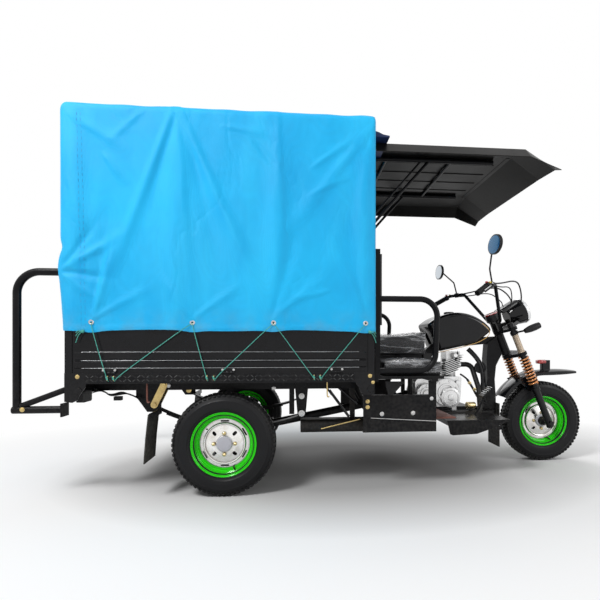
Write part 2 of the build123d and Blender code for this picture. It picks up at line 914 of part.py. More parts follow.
with BuildPart() as canopy_cover:
    box_between((cover_back, -cover_side, cover_hem), (cover_front, cover_side, canopy_top))
    fillet(canopy_cover.edges().filter_by(Axis.X).group_by(Axis.Z)[-1], cover_round)
    fillet(
        canopy_cover.edges().filter_by(Axis.Y).group_by(Axis.Z)[-1].sort_by(Axis.X)[0], cover_round
    )
    offset(amount=-cover_sheet, openings=canopy_cover.faces().sort_by(Axis.Z)[0])
    with BuildSketch(Plane.YZ.offset(cover_back - cover_sheet)) as doorway:
        with Locations((0, (cover_hem + canopy_top) / 2 - cover_sheet * 4)):
            Rectangle(2 * (gate_half + gate_gap - curtain_lap), canopy_top - cover_hem)
    extrude(doorway.sketch, amount=3 * cover_sheet, mode=Mode.SUBTRACT)
    for side in (-1, 1):
        with BuildSketch(Plane.YZ.offset(cover_back - cover_sheet)) as tube_way:
            with Locations((side * hoop_y, hoop_high)):
                Circle(hoop_radius + turn_gap)
        extrude(tube_way.sketch, amount=3 * cover_sheet, mode=Mode.SUBTRACT)

canopy_cover.part.label = "canopy_cover"
export_step(canopy_cover.part, "parts/canopy_cover.step")

# Rear curtain hanging from the last hoop, its foot inside the tailgate

curtain_sheet = 4
curtain_x = bed_rear + bow_share[0] * bed_length - bow_radius - curtain_sheet - seat_gap
curtain_half_out = 40
curtain_half = gate_half + curtain_half_out
curtain_top_inset = 4
curtain_top = bow_top - curtain_top_inset
curtain_hem_drop = 90
curtain_hem = wall_top - curtain_hem_drop

with BuildPart() as rear_curtain:
    box_between(
        (curtain_x, -curtain_half, curtain_hem),
        (curtain_x + curtain_sheet, curtain_half, curtain_top),
    )

rear_curtain.part.label = "rear_curtain"
export_step(rear_curtain.part, "parts/rear_curtain.step")

# Front frame: neck, down channel, backbone, and a cradle that carries the engine

steer_offset = 50
neck_low = 518
neck_high = 665
neck_radius = 30
stem_radius = 15
neck_bore = stem_radius + turn_gap
channel_half = 36
backbone_half = 24
cradle_y = 90
cradle_radius = 16
cradle_z = 345
cradle_bend = 60
seat_post_ahead = 340
seat_post_x = bed_front + seat_post_ahead
cradle_front_ahead = 900
cradle_front = bed_front + cradle_front_ahead
cradle_rise_ahead = 70
cradle_rise = bed_front + cradle_rise_ahead
seat_base_low_drop = 3
seat_base_low = frame_top - seat_base_low_drop

steer = Plane(
    origin=(
        front_x - steer_offset * cos(radians(rake)),
        0,
        tyre_radius - steer_offset * sin(radians(rake)),
    ),
    x_dir=(cos(radians(rake)), 0, sin(radians(rake))),
    z_dir=(-sin(radians(rake)), 0, cos(radians(rake))),
)


def at_fork(ahead, left, up):
    """A point given along the steering plane's own directions."""
    return steer.from_local_coords(Vector(ahead, left, up))


tunnel_top = 876
tank_pad_ahead = 810
tank_pad_x = bed_front + tank_pad_ahead
tank_pad_length = 60
tank_pad_height = 34
channel_rear_ahead = 865
channel_rear = bed_front + channel_rear_ahead
channel_low = 330
channel_length = 135
channel_height = 520
backbone_rear_ahead = 394
backbone_rear = bed_front + backbone_rear_ahead
backbone_low = 604
backbone_length = 586
backbone_height = 252
# side outlines, as shares of their length and height
channel_share = (
    (0.704, 1),
    (1, 0.779),
    (0.689, 0.625),
    (0.615, 0.442),
    (0.674, 0.212),
    (0.674, 0),
    (0, 0),
    (0.052, 0.192),
    (0.23, 0.442),
    (0.185, 0.712),
    (0.259, 0.927),
)
backbone_share = (
    (1, 1),
    (0.249, 0.905),
    (0.014, 0.401),
    (0, 0.401),
    (0, 0),
    (0.07, 0.143),
    (0.283, 0.667),
    (0.915, 0.802),
)

with BuildPart() as front_frame:
    plate_outline(
        share_points(channel_share, (channel_rear, channel_low), (channel_length, channel_height)),
        0,
        2 * channel_half,
    )
    plate_outline(
        share_points(
            backbone_share, (backbone_rear, backbone_low), (backbone_length, backbone_height)
        ),
        0,
        2 * backbone_half,
    )
    run_tube((at_fork(0, 0, neck_low), at_fork(0, 0, neck_high)), neck_radius)
    with BuildSketch(steer.offset(neck_low)) as bore:
        Circle(neck_bore)
    extrude(bore.sketch, amount=neck_high - neck_low, both=True, mode=Mode.SUBTRACT)
    for side in (-1, 1):
        y = side * cradle_y
        run_tube(
            (
                (cradle_front, y, cradle_z),
                (cradle_rise, y, cradle_z),
                (bed_front - member_width, y, frame_top - member_height / 2),
            ),
            cradle_radius,
            cradle_bend,
        )
        run_tube(
            ((seat_post_x, y, cradle_z), (seat_post_x, y, seat_base_low)), cradle_radius * 0.9
        )
    box_between(
        (cradle_front - cradle_radius, -cradle_y, cradle_z - cradle_radius * 0.8),
        (cradle_front + cradle_radius, cradle_y, cradle_z + cradle_radius * 0.8),
    )
    box_between(
        (tank_pad_x, -backbone_half, tunnel_top - tank_pad_height),
        (tank_pad_x + tank_pad_length, backbone_half, tunnel_top - seat_gap),
    )
    add(bed_frame.part, mode=Mode.SUBTRACT)

front_frame.part.label = "front_frame"
export_step(front_frame.part, "parts/front_frame.step")

# Seat frame: a pan on the posts, uprights behind it and a raised box for the driver

seat_rear = bed_front + seat_gap
seat_front_ahead = 390
seat_front = bed_front + seat_front_ahead
seat_half_inset = 36
seat_half = half_bed - seat_half_inset
upright_size = 28
upright_x = cover_front + 2 * turn_gap
upright_top_rise = 350
upright_top = wall_top + upright_top_rise
pan_top_rise = 27
pan_top = frame_top + pan_top_rise
driver_half = 185
driver_box_top_rise = 105
driver_box_top = pan_top + driver_box_top_rise
driver_rear_ahead = 80
driver_rear = bed_front + driver_rear_ahead
pan_cross = 34

with BuildPart() as seat_frame:
    box_between(
        (seat_rear, -seat_half, seat_base_low + upright_size / 2), (seat_front, seat_half, pan_top)
    )
    box_between(
        (seat_post_x - pan_cross / 2, -seat_half, seat_base_low),
        (seat_post_x + pan_cross / 2, seat_half, pan_top),
    )
    box_between(
        (seat_rear, -seat_half, seat_base_low), (seat_rear + upright_size, seat_half, pan_top)
    )
    box_between(
        (driver_rear, -driver_half, pan_top), (seat_front, driver_half, driver_box_top)
    )
    for side in (-1, 1):
        low, high = sorted((side * seat_half, side * (seat_half - upright_size)))
        box_between((upright_x, low, pan_top), (upright_x + upright_size, high, upright_top))

seat_frame.part.label = "seat_frame"
export_step(seat_frame.part, "parts/seat_frame.step")

# Armrest hoops at both ends of the bench

arm_radius = 16
arm_inset = 50
arm_y = half_bed - arm_inset
arm_top_rise = 417
arm_top = pan_top + arm_top_rise
arm_low_rise = 27
arm_low = pan_top + arm_low_rise
arm_front_high_ahead = 360
arm_front_high = bed_front + arm_front_high_ahead
arm_front_low_ahead = 342
arm_front_low = bed_front + arm_front_low_ahead
arm_bend = 95
arm_rear = upright_x + upright_size

with BuildPart() as armrest_hoops:
    for side in (-1, 1):
        y = side * arm_y
        run_tube(
            (
                (arm_rear, y, arm_top),
                (arm_front_high, y, arm_top),
                (arm_front_low, y, arm_low),
                (arm_rear, y, arm_low),
            ),
            arm_radius,
            arm_bend,
        )

armrest_hoops.part.label = "armrest_hoops"
export_step(armrest_hoops.part, "parts/armrest_hoops.step")

# Seat cushions: one each side of the driver, the driver's saddle and the backrest

cushion_rear_ahead = 72
cushion_rear = bed_front + cushion_rear_ahead
cushion_front_ahead = 386
cushion_front = bed_front + cushion_front_ahead
cushion_top_rise = 85
cushion_top = pan_top + cushion_top_rise
cushion_outer_inset = 75
cushion_outer = half_bed - cushion_outer_inset
cushion_gap = 8
cushion_round = 22
saddle_top_rise = 140
saddle_top = driver_box_top + saddle_top_rise
saddle_front_ahead = 410
saddle_front = bed_front + saddle_front_ahead
saddle_half = 192
back_low_rise = 278
back_low = pan_top + back_low_rise
back_half = 470
back_rear_ahead = 44
back_rear = bed_front + back_rear_ahead
back_sheet = 34

with BuildPart() as bench_cushions:
    for side in (-1, 1):
        low, high = sorted((side * (driver_half + cushion_gap), side * cushion_outer))
        box_between(
            (cushion_rear, low, pan_top + seat_gap), (cushion_front, high, cushion_top)
        )
    fillet(bench_cushions.edges().filter_by(Axis.Z), cushion_round)
    fillet(bench_cushions.edges().group_by(Axis.Z)[-1], cushion_round * 0.7)

bench_cushions.part.label = "bench_cushions"
export_step(bench_cushions.part, "parts/bench_cushions.step")

with BuildPart() as driver_saddle:
    box_between(
        (driver_rear, -saddle_half, driver_box_top + seat_gap), (saddle_front, saddle_half, saddle_top)
    )
    fillet(driver_saddle.edges().filter_by(Axis.Z), 2 * cushion_round)
    fillet(driver_saddle.edges().group_by(Axis.Z)[-1], cushion_round)

driver_saddle.part.label = "driver_saddle"
export_step(driver_saddle.part, "parts/driver_saddle.step")

with BuildPart() as backrest:
    box_between((back_rear, -back_half, back_low), (back_rear + back_sheet, back_half, upright_top))
    fillet(backrest.edges().filter_by(Axis.X), cushion_round)
    fillet(backrest.faces().sort_by(Axis.X)[-1].edges(), cushion_round * 0.5)

backrest.part.label = "backrest"
export_step(backrest.part, "parts/backrest.step")

# Roof frame: two tubes bent forward over the driver, with struts and a cross tube

roof_tube = 14
roof_y = 300
roof_post_x = back_rear - seat_gap - roof_tube
roof_tube_drop = 111
roof_tube_z = canopy_top - roof_tube_drop
roof_tube_front_ahead = 802
roof_tube_front = bed_front + roof_tube_front_ahead
roof_bend = 70
strut_radius = 9
strut_low_drop = 421
strut_low = roof_tube_z - strut_low_drop
strut_high_ahead = 400
strut_high_x = bed_front + strut_high_ahead
thin_strut_shift = 48
thin_strut_radius = 6

with BuildPart() as roof_frame:
    for side in (-1, 1):
        y = side * roof_y
        run_tube(
            (
                (roof_post_x, y, pan_top),
                (roof_post_x, y, roof_tube_z),
                (roof_tube_front, y, roof_tube_z),
            ),
            roof_tube,
            roof_bend,
        )
        run_tube(((roof_post_x, y, strut_low), (strut_high_x, y, roof_tube_z)), strut_radius)
        run_tube(
            (
                (roof_post_x, y, strut_low + thin_strut_shift),
                (strut_high_x - thin_strut_shift, y, roof_tube_z),
            ),
            thin_strut_radius,
        )
    for x in (roof_post_x + roof_bend * 1.5, strut_high_x + roof_bend * 2):
        run_tube(((x, -roof_y, roof_tube_z), (x, roof_y, roof_tube_z)), strut_radius)
    post_bar_z = upright_top - roof_tube
    run_tube(((roof_post_x, -roof_y, post_bar_z), (roof_post_x, roof_y, post_bar_z)), strut_radius)

roof_frame.part.label = "roof_frame"
export_step(roof_frame.part, "parts/roof_frame.step")

# Driver's roof: a pressed sheet, its sides turned down and its front sloping to a lip

roof_rear_ahead = 22
roof_rear = bed_front + roof_rear_ahead
roof_break_ahead = 900
roof_break = bed_front + roof_break_ahead
roof_front_ahead = 1078
roof_front = bed_front + roof_front_ahead
roof_half = 560
roof_sheet = 4
roof_underside = roof_tube_z + roof_tube
roof_lip_drop = 76
roof_lip = roof_tube_z - roof_lip_drop
roof_front_drop = 66
roof_flat_half = 340
roof_shoulder_half = 500
roof_shoulder_drop = 22
roof_rib_share = (-0.72, -0.24, 0.24, 0.72)
roof_rib_half = 22
roof_rib_deep = 4
roof_rib_inset = 60


def roof_section(x, drop, share):
    """A closed section across the roof, its crown flattened by a share."""
    lip = roof_lip - drop
    crown = lip + (roof_underside - roof_lip) * share
    shoulder = crown - roof_shoulder_drop * share
    under = (
        (-roof_half, lip),
        (-roof_shoulder_half, shoulder),
        (-roof_flat_half, crown),
        (roof_flat_half, crown),
        (roof_shoulder_half, shoulder),
        (roof_half, lip),
    )
    over = tuple((y, z + roof_sheet) for y, z in reversed(under))
    with BuildSketch(Plane.YZ.offset(x)) as section:
        with BuildLine():
            Polyline(*under, *over, close=True)
        make_face()
    return section.sketch


with BuildPart() as driver_roof:
    loft([roof_section(roof_rear, 0, 1), roof_section(roof_break, 0, 1)], ruled=True)
    loft(
        [roof_section(roof_break, 0, 1), roof_section(roof_front, roof_front_drop, 0.35)], ruled=True
    )
    for share in roof_rib_share:
        y = share * roof_y
        box_between(
            (roof_rear + roof_rib_inset, y - roof_rib_half, roof_underside - roof_rib_deep),
            (roof_break - roof_rib_inset, y + roof_rib_half, roof_underside + 2 * roof_rib_deep),
        )
    for x in (roof_rear, roof_break - roof_rib_inset / 2):
        box_between(
            (x, -roof_flat_half, roof_underside - roof_rib_deep / 2),
            (x + roof_rib_half, roof_flat_half, roof_underside + 2 * roof_rib_deep),
        )

driver_roof.part.label = "driver_roof"
export_step(driver_roof.part, "parts/driver_roof.step")

# Fuel tank: a rounded body that narrows to the front, astride the backbone

tank_half = 132
tank_round = 34
tunnel_half = 30
cap_share = 0.42
cap_radius = 34
cap_height = 26
cap_sink = 14
cap_round = 5
tank_rear_ahead = 452
tank_rear = bed_front + tank_rear_ahead
tank_low = 752
tank_length = 442
tank_height = 257
# side outline: rear top, rear foot, front foot, nose and crown, as shares of length and height
tank_share = (
    (0, 0.693),
    (0.172, 0),
    (0.747, 0.21),
    (1, 0.549),
    (0.538, 1),
)
tank_points = share_points(tank_share, (tank_rear, tank_low), (tank_length, tank_height))

with BuildPart() as fuel_tank:
    with BuildSketch(Plane.XZ) as outline:
        with BuildLine():
            Polyline(*tank_points[:4])
            ThreePointArc(tank_points[3], tank_points[4], tank_points[0])
        make_face()
        fillet(outline.vertices(), tank_round * 0.6)
    extrude(outline.sketch, amount=tank_half, both=True)
    fillet(
        fuel_tank.faces().sort_by(Axis.Y)[0].edges() + fuel_tank.faces().sort_by(Axis.Y)[-1].edges(),
        tank_round,
    )
    with BuildSketch(Plane.YZ.offset(tank_rear - tank_round)) as tunnel:
        with Locations((0, tank_low)):
            Rectangle(2 * tunnel_half, 2 * (tunnel_top - tank_low))
    extrude(tunnel.sketch, amount=tank_length + 2 * tank_round, mode=Mode.SUBTRACT)
    with BuildSketch(Plane.XY.offset(tank_low + tank_height - cap_sink)) as neck:
        with Locations((tank_rear + cap_share * tank_length, 0)):
            Circle(cap_radius)
    extrude(neck.sketch, amount=cap_height)
    fillet(fuel_tank.edges().group_by(Axis.Z)[-1], cap_round)

fuel_tank.part.label = "fuel_tank"
export_step(fuel_tank.part, "parts/fuel_tank.step")

# Engine case: crankcase with round side covers, feet and the drive boss at the back

engine_half = 92
case_corner = 16
cover_out = 40
engine_foot = 30
cylinder_ahead = 635
cylinder_x = bed_front + cylinder_ahead
case_length = 317
case_low = 386
case_height = 220
foot_top = 400
foot_share = (0.158, 0.82)
bolt_radius = 6
bolt_high = 5
ring_sheet = 9
rib_sheet = 5
rib_out = 7
filler_radius = 15
filler_out = 16
# side outline of the case, as shares of its length and height
case_share = (
    (0, 0.2),
    (0.126, 0),
    (0.789, 0),
    (0.968, 0.209),
    (1, 0.905),
    (0.59, 0.905),
    (0.426, 1),
    (0.148, 1),
    (0, 0.755),
)
case_top = case_low + case_share[4][1] * case_height
# round covers as shares: place along the case, place up it, radius of its height, bolts
cover_share = (
    (0.621, 0.455, 0.391, 7),
    (0.199, 0.418, 0.273, 5),
)
case_rib_share = (0.2, 0.36, 0.52, 0.68)

with BuildPart() as engine_case:
    plate_outline(
        share_points(case_share, (engine_rear, case_low), (case_length, case_height)),
        0,
        2 * engine_half,
        case_corner,
    )
    for along, up, wide, _ in cover_share:
        cross_bar(
            engine_rear + along * case_length,
            case_low + up * case_height,
            wide * case_height,
            -engine_half - cover_out,
            engine_half + cover_out,
        )
    run_tube(((engine_rear, 0, output_z), (engine_rear - output_boss, 0, output_z)), joint_radius)
    for side in (-1, 1):
        for along, up, wide, bolts in cover_share:
            centre = (engine_rear + along * case_length, case_low + up * case_height)
            radius = wide * case_height
            outer_face = side_view(side * (engine_half + cover_out))
            with BuildSketch(outer_face) as ring:
                with Locations(centre):
                    Circle(radius * 0.66)
                    Circle(radius * 0.66 - ring_sheet, mode=Mode.SUBTRACT)
                    Circle(radius * 0.34)
            extrude(ring.sketch, amount=-side * rib_sheet)
            with BuildSketch(outer_face) as heads:
                with Locations(centre):
                    with PolarLocations(radius - 2 * bolt_radius, bolts, start_angle=degrees(wide)):
                        RegularPolygon(bolt_radius, 6)
            extrude(heads.sketch, amount=-side * bolt_high)
        for share in case_rib_share:
            z = case_low + share * case_height
            low, high = sorted((side * engine_half, side * (engine_half + rib_out)))
            box_between(
                (engine_rear + case_corner, low, z), (engine_rear + case_length * 0.94, high, z + rib_sheet)
            )
        for share in foot_share:
            x = engine_rear + share * case_length
            y = side * cradle_y
            box_between(
                (x - engine_foot / 2, y - engine_foot / 2, cradle_z + cradle_radius + seat_gap),
                (x + engine_foot / 2, y + engine_foot / 2, foot_top),
            )
    cross_bar(
        engine_rear + case_length * 0.9,
        case_low + case_height * 0.72,
        filler_radius,
        -engine_half - filler_out,
        0,
    )

engine_case.part.label = "engine_case"
export_step(engine_case.part, "parts/engine_case.step")

# Engine cylinder: a barrel with cooling fins that rise to the front, and its head

barrel_radius = 47
fin_count = 8
fin_pitch = 13
fin_sheet = 4
fin_tilt = 20
fin_first = 26
fin_short = 52
fin_long = 74
fin_half_width = 68
head_top = 752
head_low = 700
head_half = 48
head_width = 54
port_radius = 22
port_z = 662
port_reach = 80
plug_out = 46
plug_radius = 13
# spark plug and its cap: start and end to the right, radius
plug_steps = (
    (head_width, head_width + plug_out * 0.3, plug_radius * 1.25),
    (head_width, head_width + plug_out, plug_radius),
)

with BuildPart() as engine_cylinder:
    with BuildSketch(Plane.XY.offset(case_top)) as barrel:
        with Locations((cylinder_x, 0)):
            Circle(barrel_radius)
    extrude(barrel.sketch, amount=head_low - case_top)
    for fin in range(fin_count):
        grow = fin / (fin_count - 1)
        reach = fin_short + (fin_long - fin_short) * grow
        fin_plane = Plane(
            origin=(cylinder_x + grow * fin_pitch, 0, case_top + fin_first + fin * fin_pitch),
            x_dir=(cos(radians(fin_tilt)), 0, sin(radians(fin_tilt))),
            z_dir=(-sin(radians(fin_tilt)), 0, cos(radians(fin_tilt))),
        )
        with BuildSketch(fin_plane) as plate:
            RectangleRounded(2 * reach, 2 * fin_half_width, fin_pitch)
        extrude(plate.sketch, amount=fin_sheet / 2, both=True)
    box_between(
        (cylinder_x - head_half + fin_pitch, -head_width, head_low - fin_pitch),
        (cylinder_x + head_half + fin_pitch, head_width, head_top),
    )
    run_tube(((cylinder_x, 0, port_z), (cylinder_x + port_reach, 0, port_z)), port_radius)

    for low, high, radius in plug_steps:
        cross_bar(cylinder_x + fin_pitch, (head_low + head_top) / 2, radius, -high, -low)

engine_cylinder.part.label = "engine_cylinder"
export_step(engine_cylinder.part, "parts/engine_cylinder.step")

# Exhaust: header pipe, long pipe under the floor and a flat silencer ahead of the rear wheel

pipe_radius = 17
pipe_start = cylinder_x + port_reach + seat_gap
pipe_z = 345
silencer_rear_ahead = 404
silencer_rear = rear_x + silencer_rear_ahead
silencer_front_behind = 24
silencer_front = bed_front - silencer_front_behind
silencer_y = -396
silencer_half = 62
silencer_low = 302
silencer_top = 374
silencer_round = 30
strap_x = silencer_rear + (silencer_front - silencer_rear) * 0.79
strap_width = 30
strap_sheet = 4
pipe_side = -138
pipe_front_ahead = 812
pipe_front_x = bed_front + pipe_front_ahead
pipe_turn_ahead = 410
pipe_turn_x = bed_front + pipe_turn_ahead
pipe_rear_ahead = 140
pipe_rear_x = bed_front + pipe_rear_ahead
pipe_route = (
    (pipe_start, 0, port_z),
    (pipe_front_x - pipe_radius, 0, port_z),
    (pipe_front_x, pipe_side * 0.62, (port_z + pipe_z) / 2),
    (pipe_front_x - pipe_radius * 0.7, pipe_side, pipe_z),
    (pipe_turn_x, pipe_side, pipe_z),
    (pipe_rear_x, pipe_side + (silencer_y - pipe_side) * 0.43, pipe_z),
    (silencer_front, silencer_y, (silencer_low + silencer_top) / 2),
)
# radius of each bend, as a share of the pipe's radius
pipe_bend_share = (2.5, 7, 3, 9.4, 11.8)

with BuildPart() as exhaust:
    run_tube(pipe_route, pipe_radius, [share * pipe_radius for share in pipe_bend_share])
    with BuildSketch(Plane.YZ.offset(silencer_rear)) as muffler:
        with Locations((silencer_y, (silencer_low + silencer_top) / 2)):
            RectangleRounded(2 * silencer_half, silencer_top - silencer_low, silencer_round)
    extrude(muffler.sketch, amount=silencer_front - silencer_rear + pipe_radius)
    box_between(
        (strap_x, -rail_offset - strap_sheet, (silencer_low + silencer_top) / 2),
        (strap_x + strap_width, -rail_offset, frame_top - rail_height),
    )

exhaust.part.label = "exhaust"
export_step(exhaust.part, "parts/exhaust.step")

# Side skirts: sheet panels below the bench with turned-in edges and a strap to the bed

skirt_inset = 80
skirt_y = half_bed - skirt_inset
skirt_sheet = 4
skirt_rear_behind = 48
skirt_rear = bed_front - skirt_rear_behind
skirt_front_ahead = 360
skirt_front = bed_front + skirt_front_ahead
skirt_top_drop = 80
skirt_top = frame_top - skirt_top_drop
skirt_low_drop = 202
skirt_low = skirt_top - skirt_low_drop
skirt_flange = 36
skirt_strap = 44

with BuildPart() as side_skirts:
    for side in (-1, 1):
        face = side * (skirt_y + skirt_sheet)
        back = side * skirt_y
        flange = side * (skirt_y - skirt_flange)
        box_between(
            (skirt_rear, min(face, back), skirt_low), (skirt_front, max(face, back), skirt_top)
        )
        for z in (skirt_low, skirt_top - skirt_sheet):
            box_between(
                (skirt_rear, min(face, flange), z), (skirt_front, max(face, flange), z + skirt_sheet)
            )
        for x, top in (
            (skirt_rear, frame_top - member_height),
            (skirt_front - skirt_strap, seat_base_low),
        ):
            box_between((x, min(face, back), skirt_top), (x + skirt_strap, max(face, back), top))

side_skirts.part.label = "side_skirts"
export_step(side_skirts.part, "parts/side_skirts.step")

# Side covers between the saddle and the tank

pod_rear_ahead = 413
pod_rear = bed_front + pod_rear_ahead
pod_front_ahead = 468
pod_front = bed_front + pod_front_ahead
pod_low = 650
pod_top = 742
pod_half = 150
pod_round = 10

with BuildPart() as side_covers:
    for side in (-1, 1):
        low, high = sorted((side * (backbone_half + seat_gap), side * pod_half))
        box_between((pod_rear, low, pod_low), (pod_front, high, pod_top))
    fillet(side_covers.edges().filter_by(Axis.Y), pod_round)

side_covers.part.label = "side_covers"
export_step(side_covers.part, "parts/side_covers.step")

# Footboards: a tread and an outer cheek on each side, on two bars under the cradle

board_rear_ahead = 476
board_rear = bed_front + board_rear_ahead
board_front_ahead = 865
board_front = bed_front + board_front_ahead
board_inner = 168
board_outer = 400
board_top = 350
board_sheet = 5
under_bar_low = 290
under_bar_high = 312
under_bar_width = 26
cross_bar_share = (0.16, 0.78)
cheek_height = 88
# outline of the outer cheek, as shares of the board's length and of its own height
cheek_share = (
    (0, 1),
    (0.051, 0.068),
    (0.087, 0),
    (0.468, 0.068),
    (0.756, 0.489),
    (1, 0.943),
    (1, 1),
)
pedal_ahead = 730
pedal_x = bed_front + pedal_ahead
pedal_y = -205
pedal_radius = 7
pedal_reach = 75
pedal_rise = 135
pedal_bend = 60
pedal_tilt = 40  # degrees
pedal_pad_length = 92
pedal_pad_width = 62
pedal_pad_sheet = 10

with BuildPart() as footboards:
    for side in (-1, 1):
        low, high = sorted((side * board_inner, side * board_outer))
        box_between((board_rear, low, board_top - board_sheet), (board_front, high, board_top))
        plate_outline(
            share_points(
                cheek_share,
                (board_rear, board_top - cheek_height),
                (board_front - board_rear, cheek_height),
            ),
            side * (board_outer - board_sheet / 2),
            board_sheet,
        )
    for share in cross_bar_share:
        x = board_rear + share * (board_front - board_rear)
        box_between((x, -board_outer, under_bar_low), (x + under_bar_width, board_outer, under_bar_high))
        for side in (-1, 1):
            low, high = sorted((side * board_inner, side * (board_inner + under_bar_width)))
            box_between((x, low, under_bar_low), (x + under_bar_width, high, board_top))
            middle = side * cradle_y
            box_between(
                (x, middle - under_bar_width / 2, under_bar_low),
                (x + under_bar_width, middle + under_bar_width / 2, cradle_z - cradle_radius - seat_gap),
            )
    run_tube(
        (
            (pedal_x, pedal_y, board_top - board_sheet),
            (pedal_x + pedal_reach * 0.6, pedal_y, board_top + pedal_rise * 0.56),
            (pedal_x + pedal_reach, pedal_y, board_top + pedal_rise),
        ),
        pedal_radius,
        pedal_bend,
    )
    pad_plane = Plane(
        origin=(
            pedal_x + pedal_reach + pedal_pad_sheet / 2,
            pedal_y,
            board_top + pedal_rise + pedal_pad_sheet / 2,
        ),
        x_dir=(cos(radians(pedal_tilt)), 0, sin(radians(pedal_tilt))),
        z_dir=(-sin(radians(pedal_tilt)), 0, cos(radians(pedal_tilt))),
    )
    with BuildSketch(pad_plane) as pad:
        Rectangle(pedal_pad_length, pedal_pad_width)
    extrude(pad.sketch, amount=pedal_pad_sheet)

footboards.part.label = "footboards"
export_step(footboards.part, "parts/footboards.step")

# Fork: steering stem between two yokes

yoke_low = 490
yoke_low_sheet = 22
yoke_high = 672
yoke_high_sheet = 18
leg_y = 110
leg_radius = 18
ear_radius = 30
leg_hole = leg_radius + 0.1 * turn_gap

with BuildPart() as fork_yokes:
    for up, sheet in ((yoke_low, yoke_low_sheet), (yoke_high, yoke_high_sheet)):
        with BuildSketch(steer.offset(up)) as yoke:
            Circle(ear_radius)
            with Locations((steer_offset, leg_y), (steer_offset, -leg_y)):
                Circle(ear_radius)
            make_hull()
            with Locations((steer_offset, leg_y), (steer_offset, -leg_y)):
                Circle(leg_hole, mode=Mode.SUBTRACT)
        extrude(yoke.sketch, amount=sheet)
    with BuildSketch(steer.offset(yoke_low)) as stem:
        Circle(stem_radius)
    extrude(stem.sketch, amount=yoke_high - yoke_low)

fork_yokes.part.label = "fork_yokes"
export_step(fork_yokes.part, "parts/fork_yokes.step")

# Fork legs: upper tubes, thicker lower legs, and the axle that joins their feet

leg_top = 724
leg_joint = 272
slider_radius = 23
slider_low = -30
axle_nut_radius = 14
axle_nut = 12

with BuildPart() as fork_legs:
    for side in (-1, 1):
        foot = at_fork(steer_offset, side * leg_y, slider_low)
        joint = at_fork(steer_offset, side * leg_y, leg_joint)
        top = at_fork(steer_offset, side * leg_y, leg_top)
        run_tube((joint, top), leg_radius)
        run_tube((foot, joint), slider_radius)
    reach = leg_y + slider_radius + axle_nut
    cross_bar(front_x, tyre_radius, front_axle_radius, -reach, reach)
    for side in (-1, 1):
        low, high = sorted((side * (leg_y + slider_radius), side * reach))
        cross_bar(front_x, tyre_radius, axle_nut_radius, low, high)

fork_legs.part.label = "fork_legs"
export_step(fork_legs.part, "parts/fork_legs.step")

# Fork springs: a coil round each upper tube, between the slider and the lower yoke

coil_low = leg_joint + seat_gap
coil_high = yoke_low - seat_gap
coil_count = 11
coil_outer = 28
coil_inner = leg_radius + seat_gap
coil_root = 23

with BuildPart() as fork_springs:
    for side in (-1, 1):
        foot = at_fork(steer_offset, side * leg_y, 0)
        across = Plane(origin=foot, x_dir=steer.x_dir, z_dir=-steer.y_dir)
        pitch = (coil_high - coil_low) / coil_count
        with BuildSketch(across) as section:
            with BuildLine():
                points = [(coil_inner, coil_low)]
                for turn in range(coil_count):
                    points.append((coil_root, coil_low + turn * pitch))
                    points.append((coil_outer, coil_low + (turn + 0.3) * pitch))
                    points.append((coil_outer, coil_low + (turn + 0.7) * pitch))
                points.append((coil_root, coil_high))
                points.append((coil_inner, coil_high))
                Polyline(*points, close=True)
            make_face()
        revolve(section.sketch, axis=Axis(foot, steer.z_dir))

fork_springs.part.label = "fork_springs"
export_step(fork_springs.part, "parts/fork_springs.step")

# Handlebar: a bent tube in clamps on the upper yoke, with its grips, levers and mirrors

bar_radius = 11
bar_bend = 42
clamp_half = 9
grip_radius = 17
grip_share = (0.28, 1)
bar_back = 222
bar_half = 396
bar_up = 1026
bar_size = (bar_back, bar_half, bar_up)  # back from the steering axis, left, along the axis
bar_zero = (0, 0, 0)
# route of the bar on its left side, as shares of its size
bar_share = (
    (0.0225, 0.197, 0.7329),
    (-0.0991, 0.6187, 0.9786),
    (-0.4414, 0.8207, 1),
    (-1, 1, 0.9795),
)
bar_route = share_points(bar_share, bar_zero, bar_size)

with BuildPart() as handlebar:
    route = [at_fork(f, -y, h) for f, y, h in reversed(bar_route)]
    route += [at_fork(f, y, h) for f, y, h in bar_route]
    run_tube(route, bar_radius, bar_bend)
    for side in (-1, 1):
        with BuildSketch(steer.offset(yoke_high + yoke_high_sheet)) as clamp:
            with Locations((bar_route[0][0], side * bar_route[0][1] / 2)):
                Rectangle(2 * bar_radius + clamp_half, 2 * clamp_half)
        extrude(clamp.sketch, amount=bar_route[0][2] - yoke_high - yoke_high_sheet + bar_radius)

handlebar.part.label = "handlebar"
export_step(handlebar.part, "parts/handlebar.step")


def part_way(start, end, share):
    """A point at the given share of the way from one point to another."""
    return tuple(a + share * (b - a) for a, b in zip(start, end))


def bar_sleeve(start, end, radius, side):
    """A sleeve round the handlebar between two points of its route."""
    low = at_fork(start[0], side * start[1], start[2])
    high = at_fork(end[0], side * end[1], end[2])
    run_tube((low, high), radius)
    run_tube((low, high), bar_radius + seat_gap, mode=Mode.SUBTRACT)


# Hand grips

with BuildPart() as hand_grips:
    for side in (-1, 1):
        bar_sleeve(
            part_way(bar_route[2], bar_route[3], grip_share[0]),
            part_way(bar_route[2], bar_route[3], grip_share[1]),
            grip_radius,
            side,
        )

hand_grips.part.label = "hand_grips"
export_step(hand_grips.part, "parts/hand_grips.step")

# Hand controls: a switch housing beside each grip with a lever ahead of it

control_share = (0.09, 0.25)
control_radius = 20
lever_radius = 5
lever_bend = 20
# route of a lever on the left side, as shares of the bar's size
lever_share = (
    (-0.536, 0.851, 0.9961),
    (-0.3604, 0.9394, 0.9903),
    (-0.8468, 1.0808, 0.9727),
)

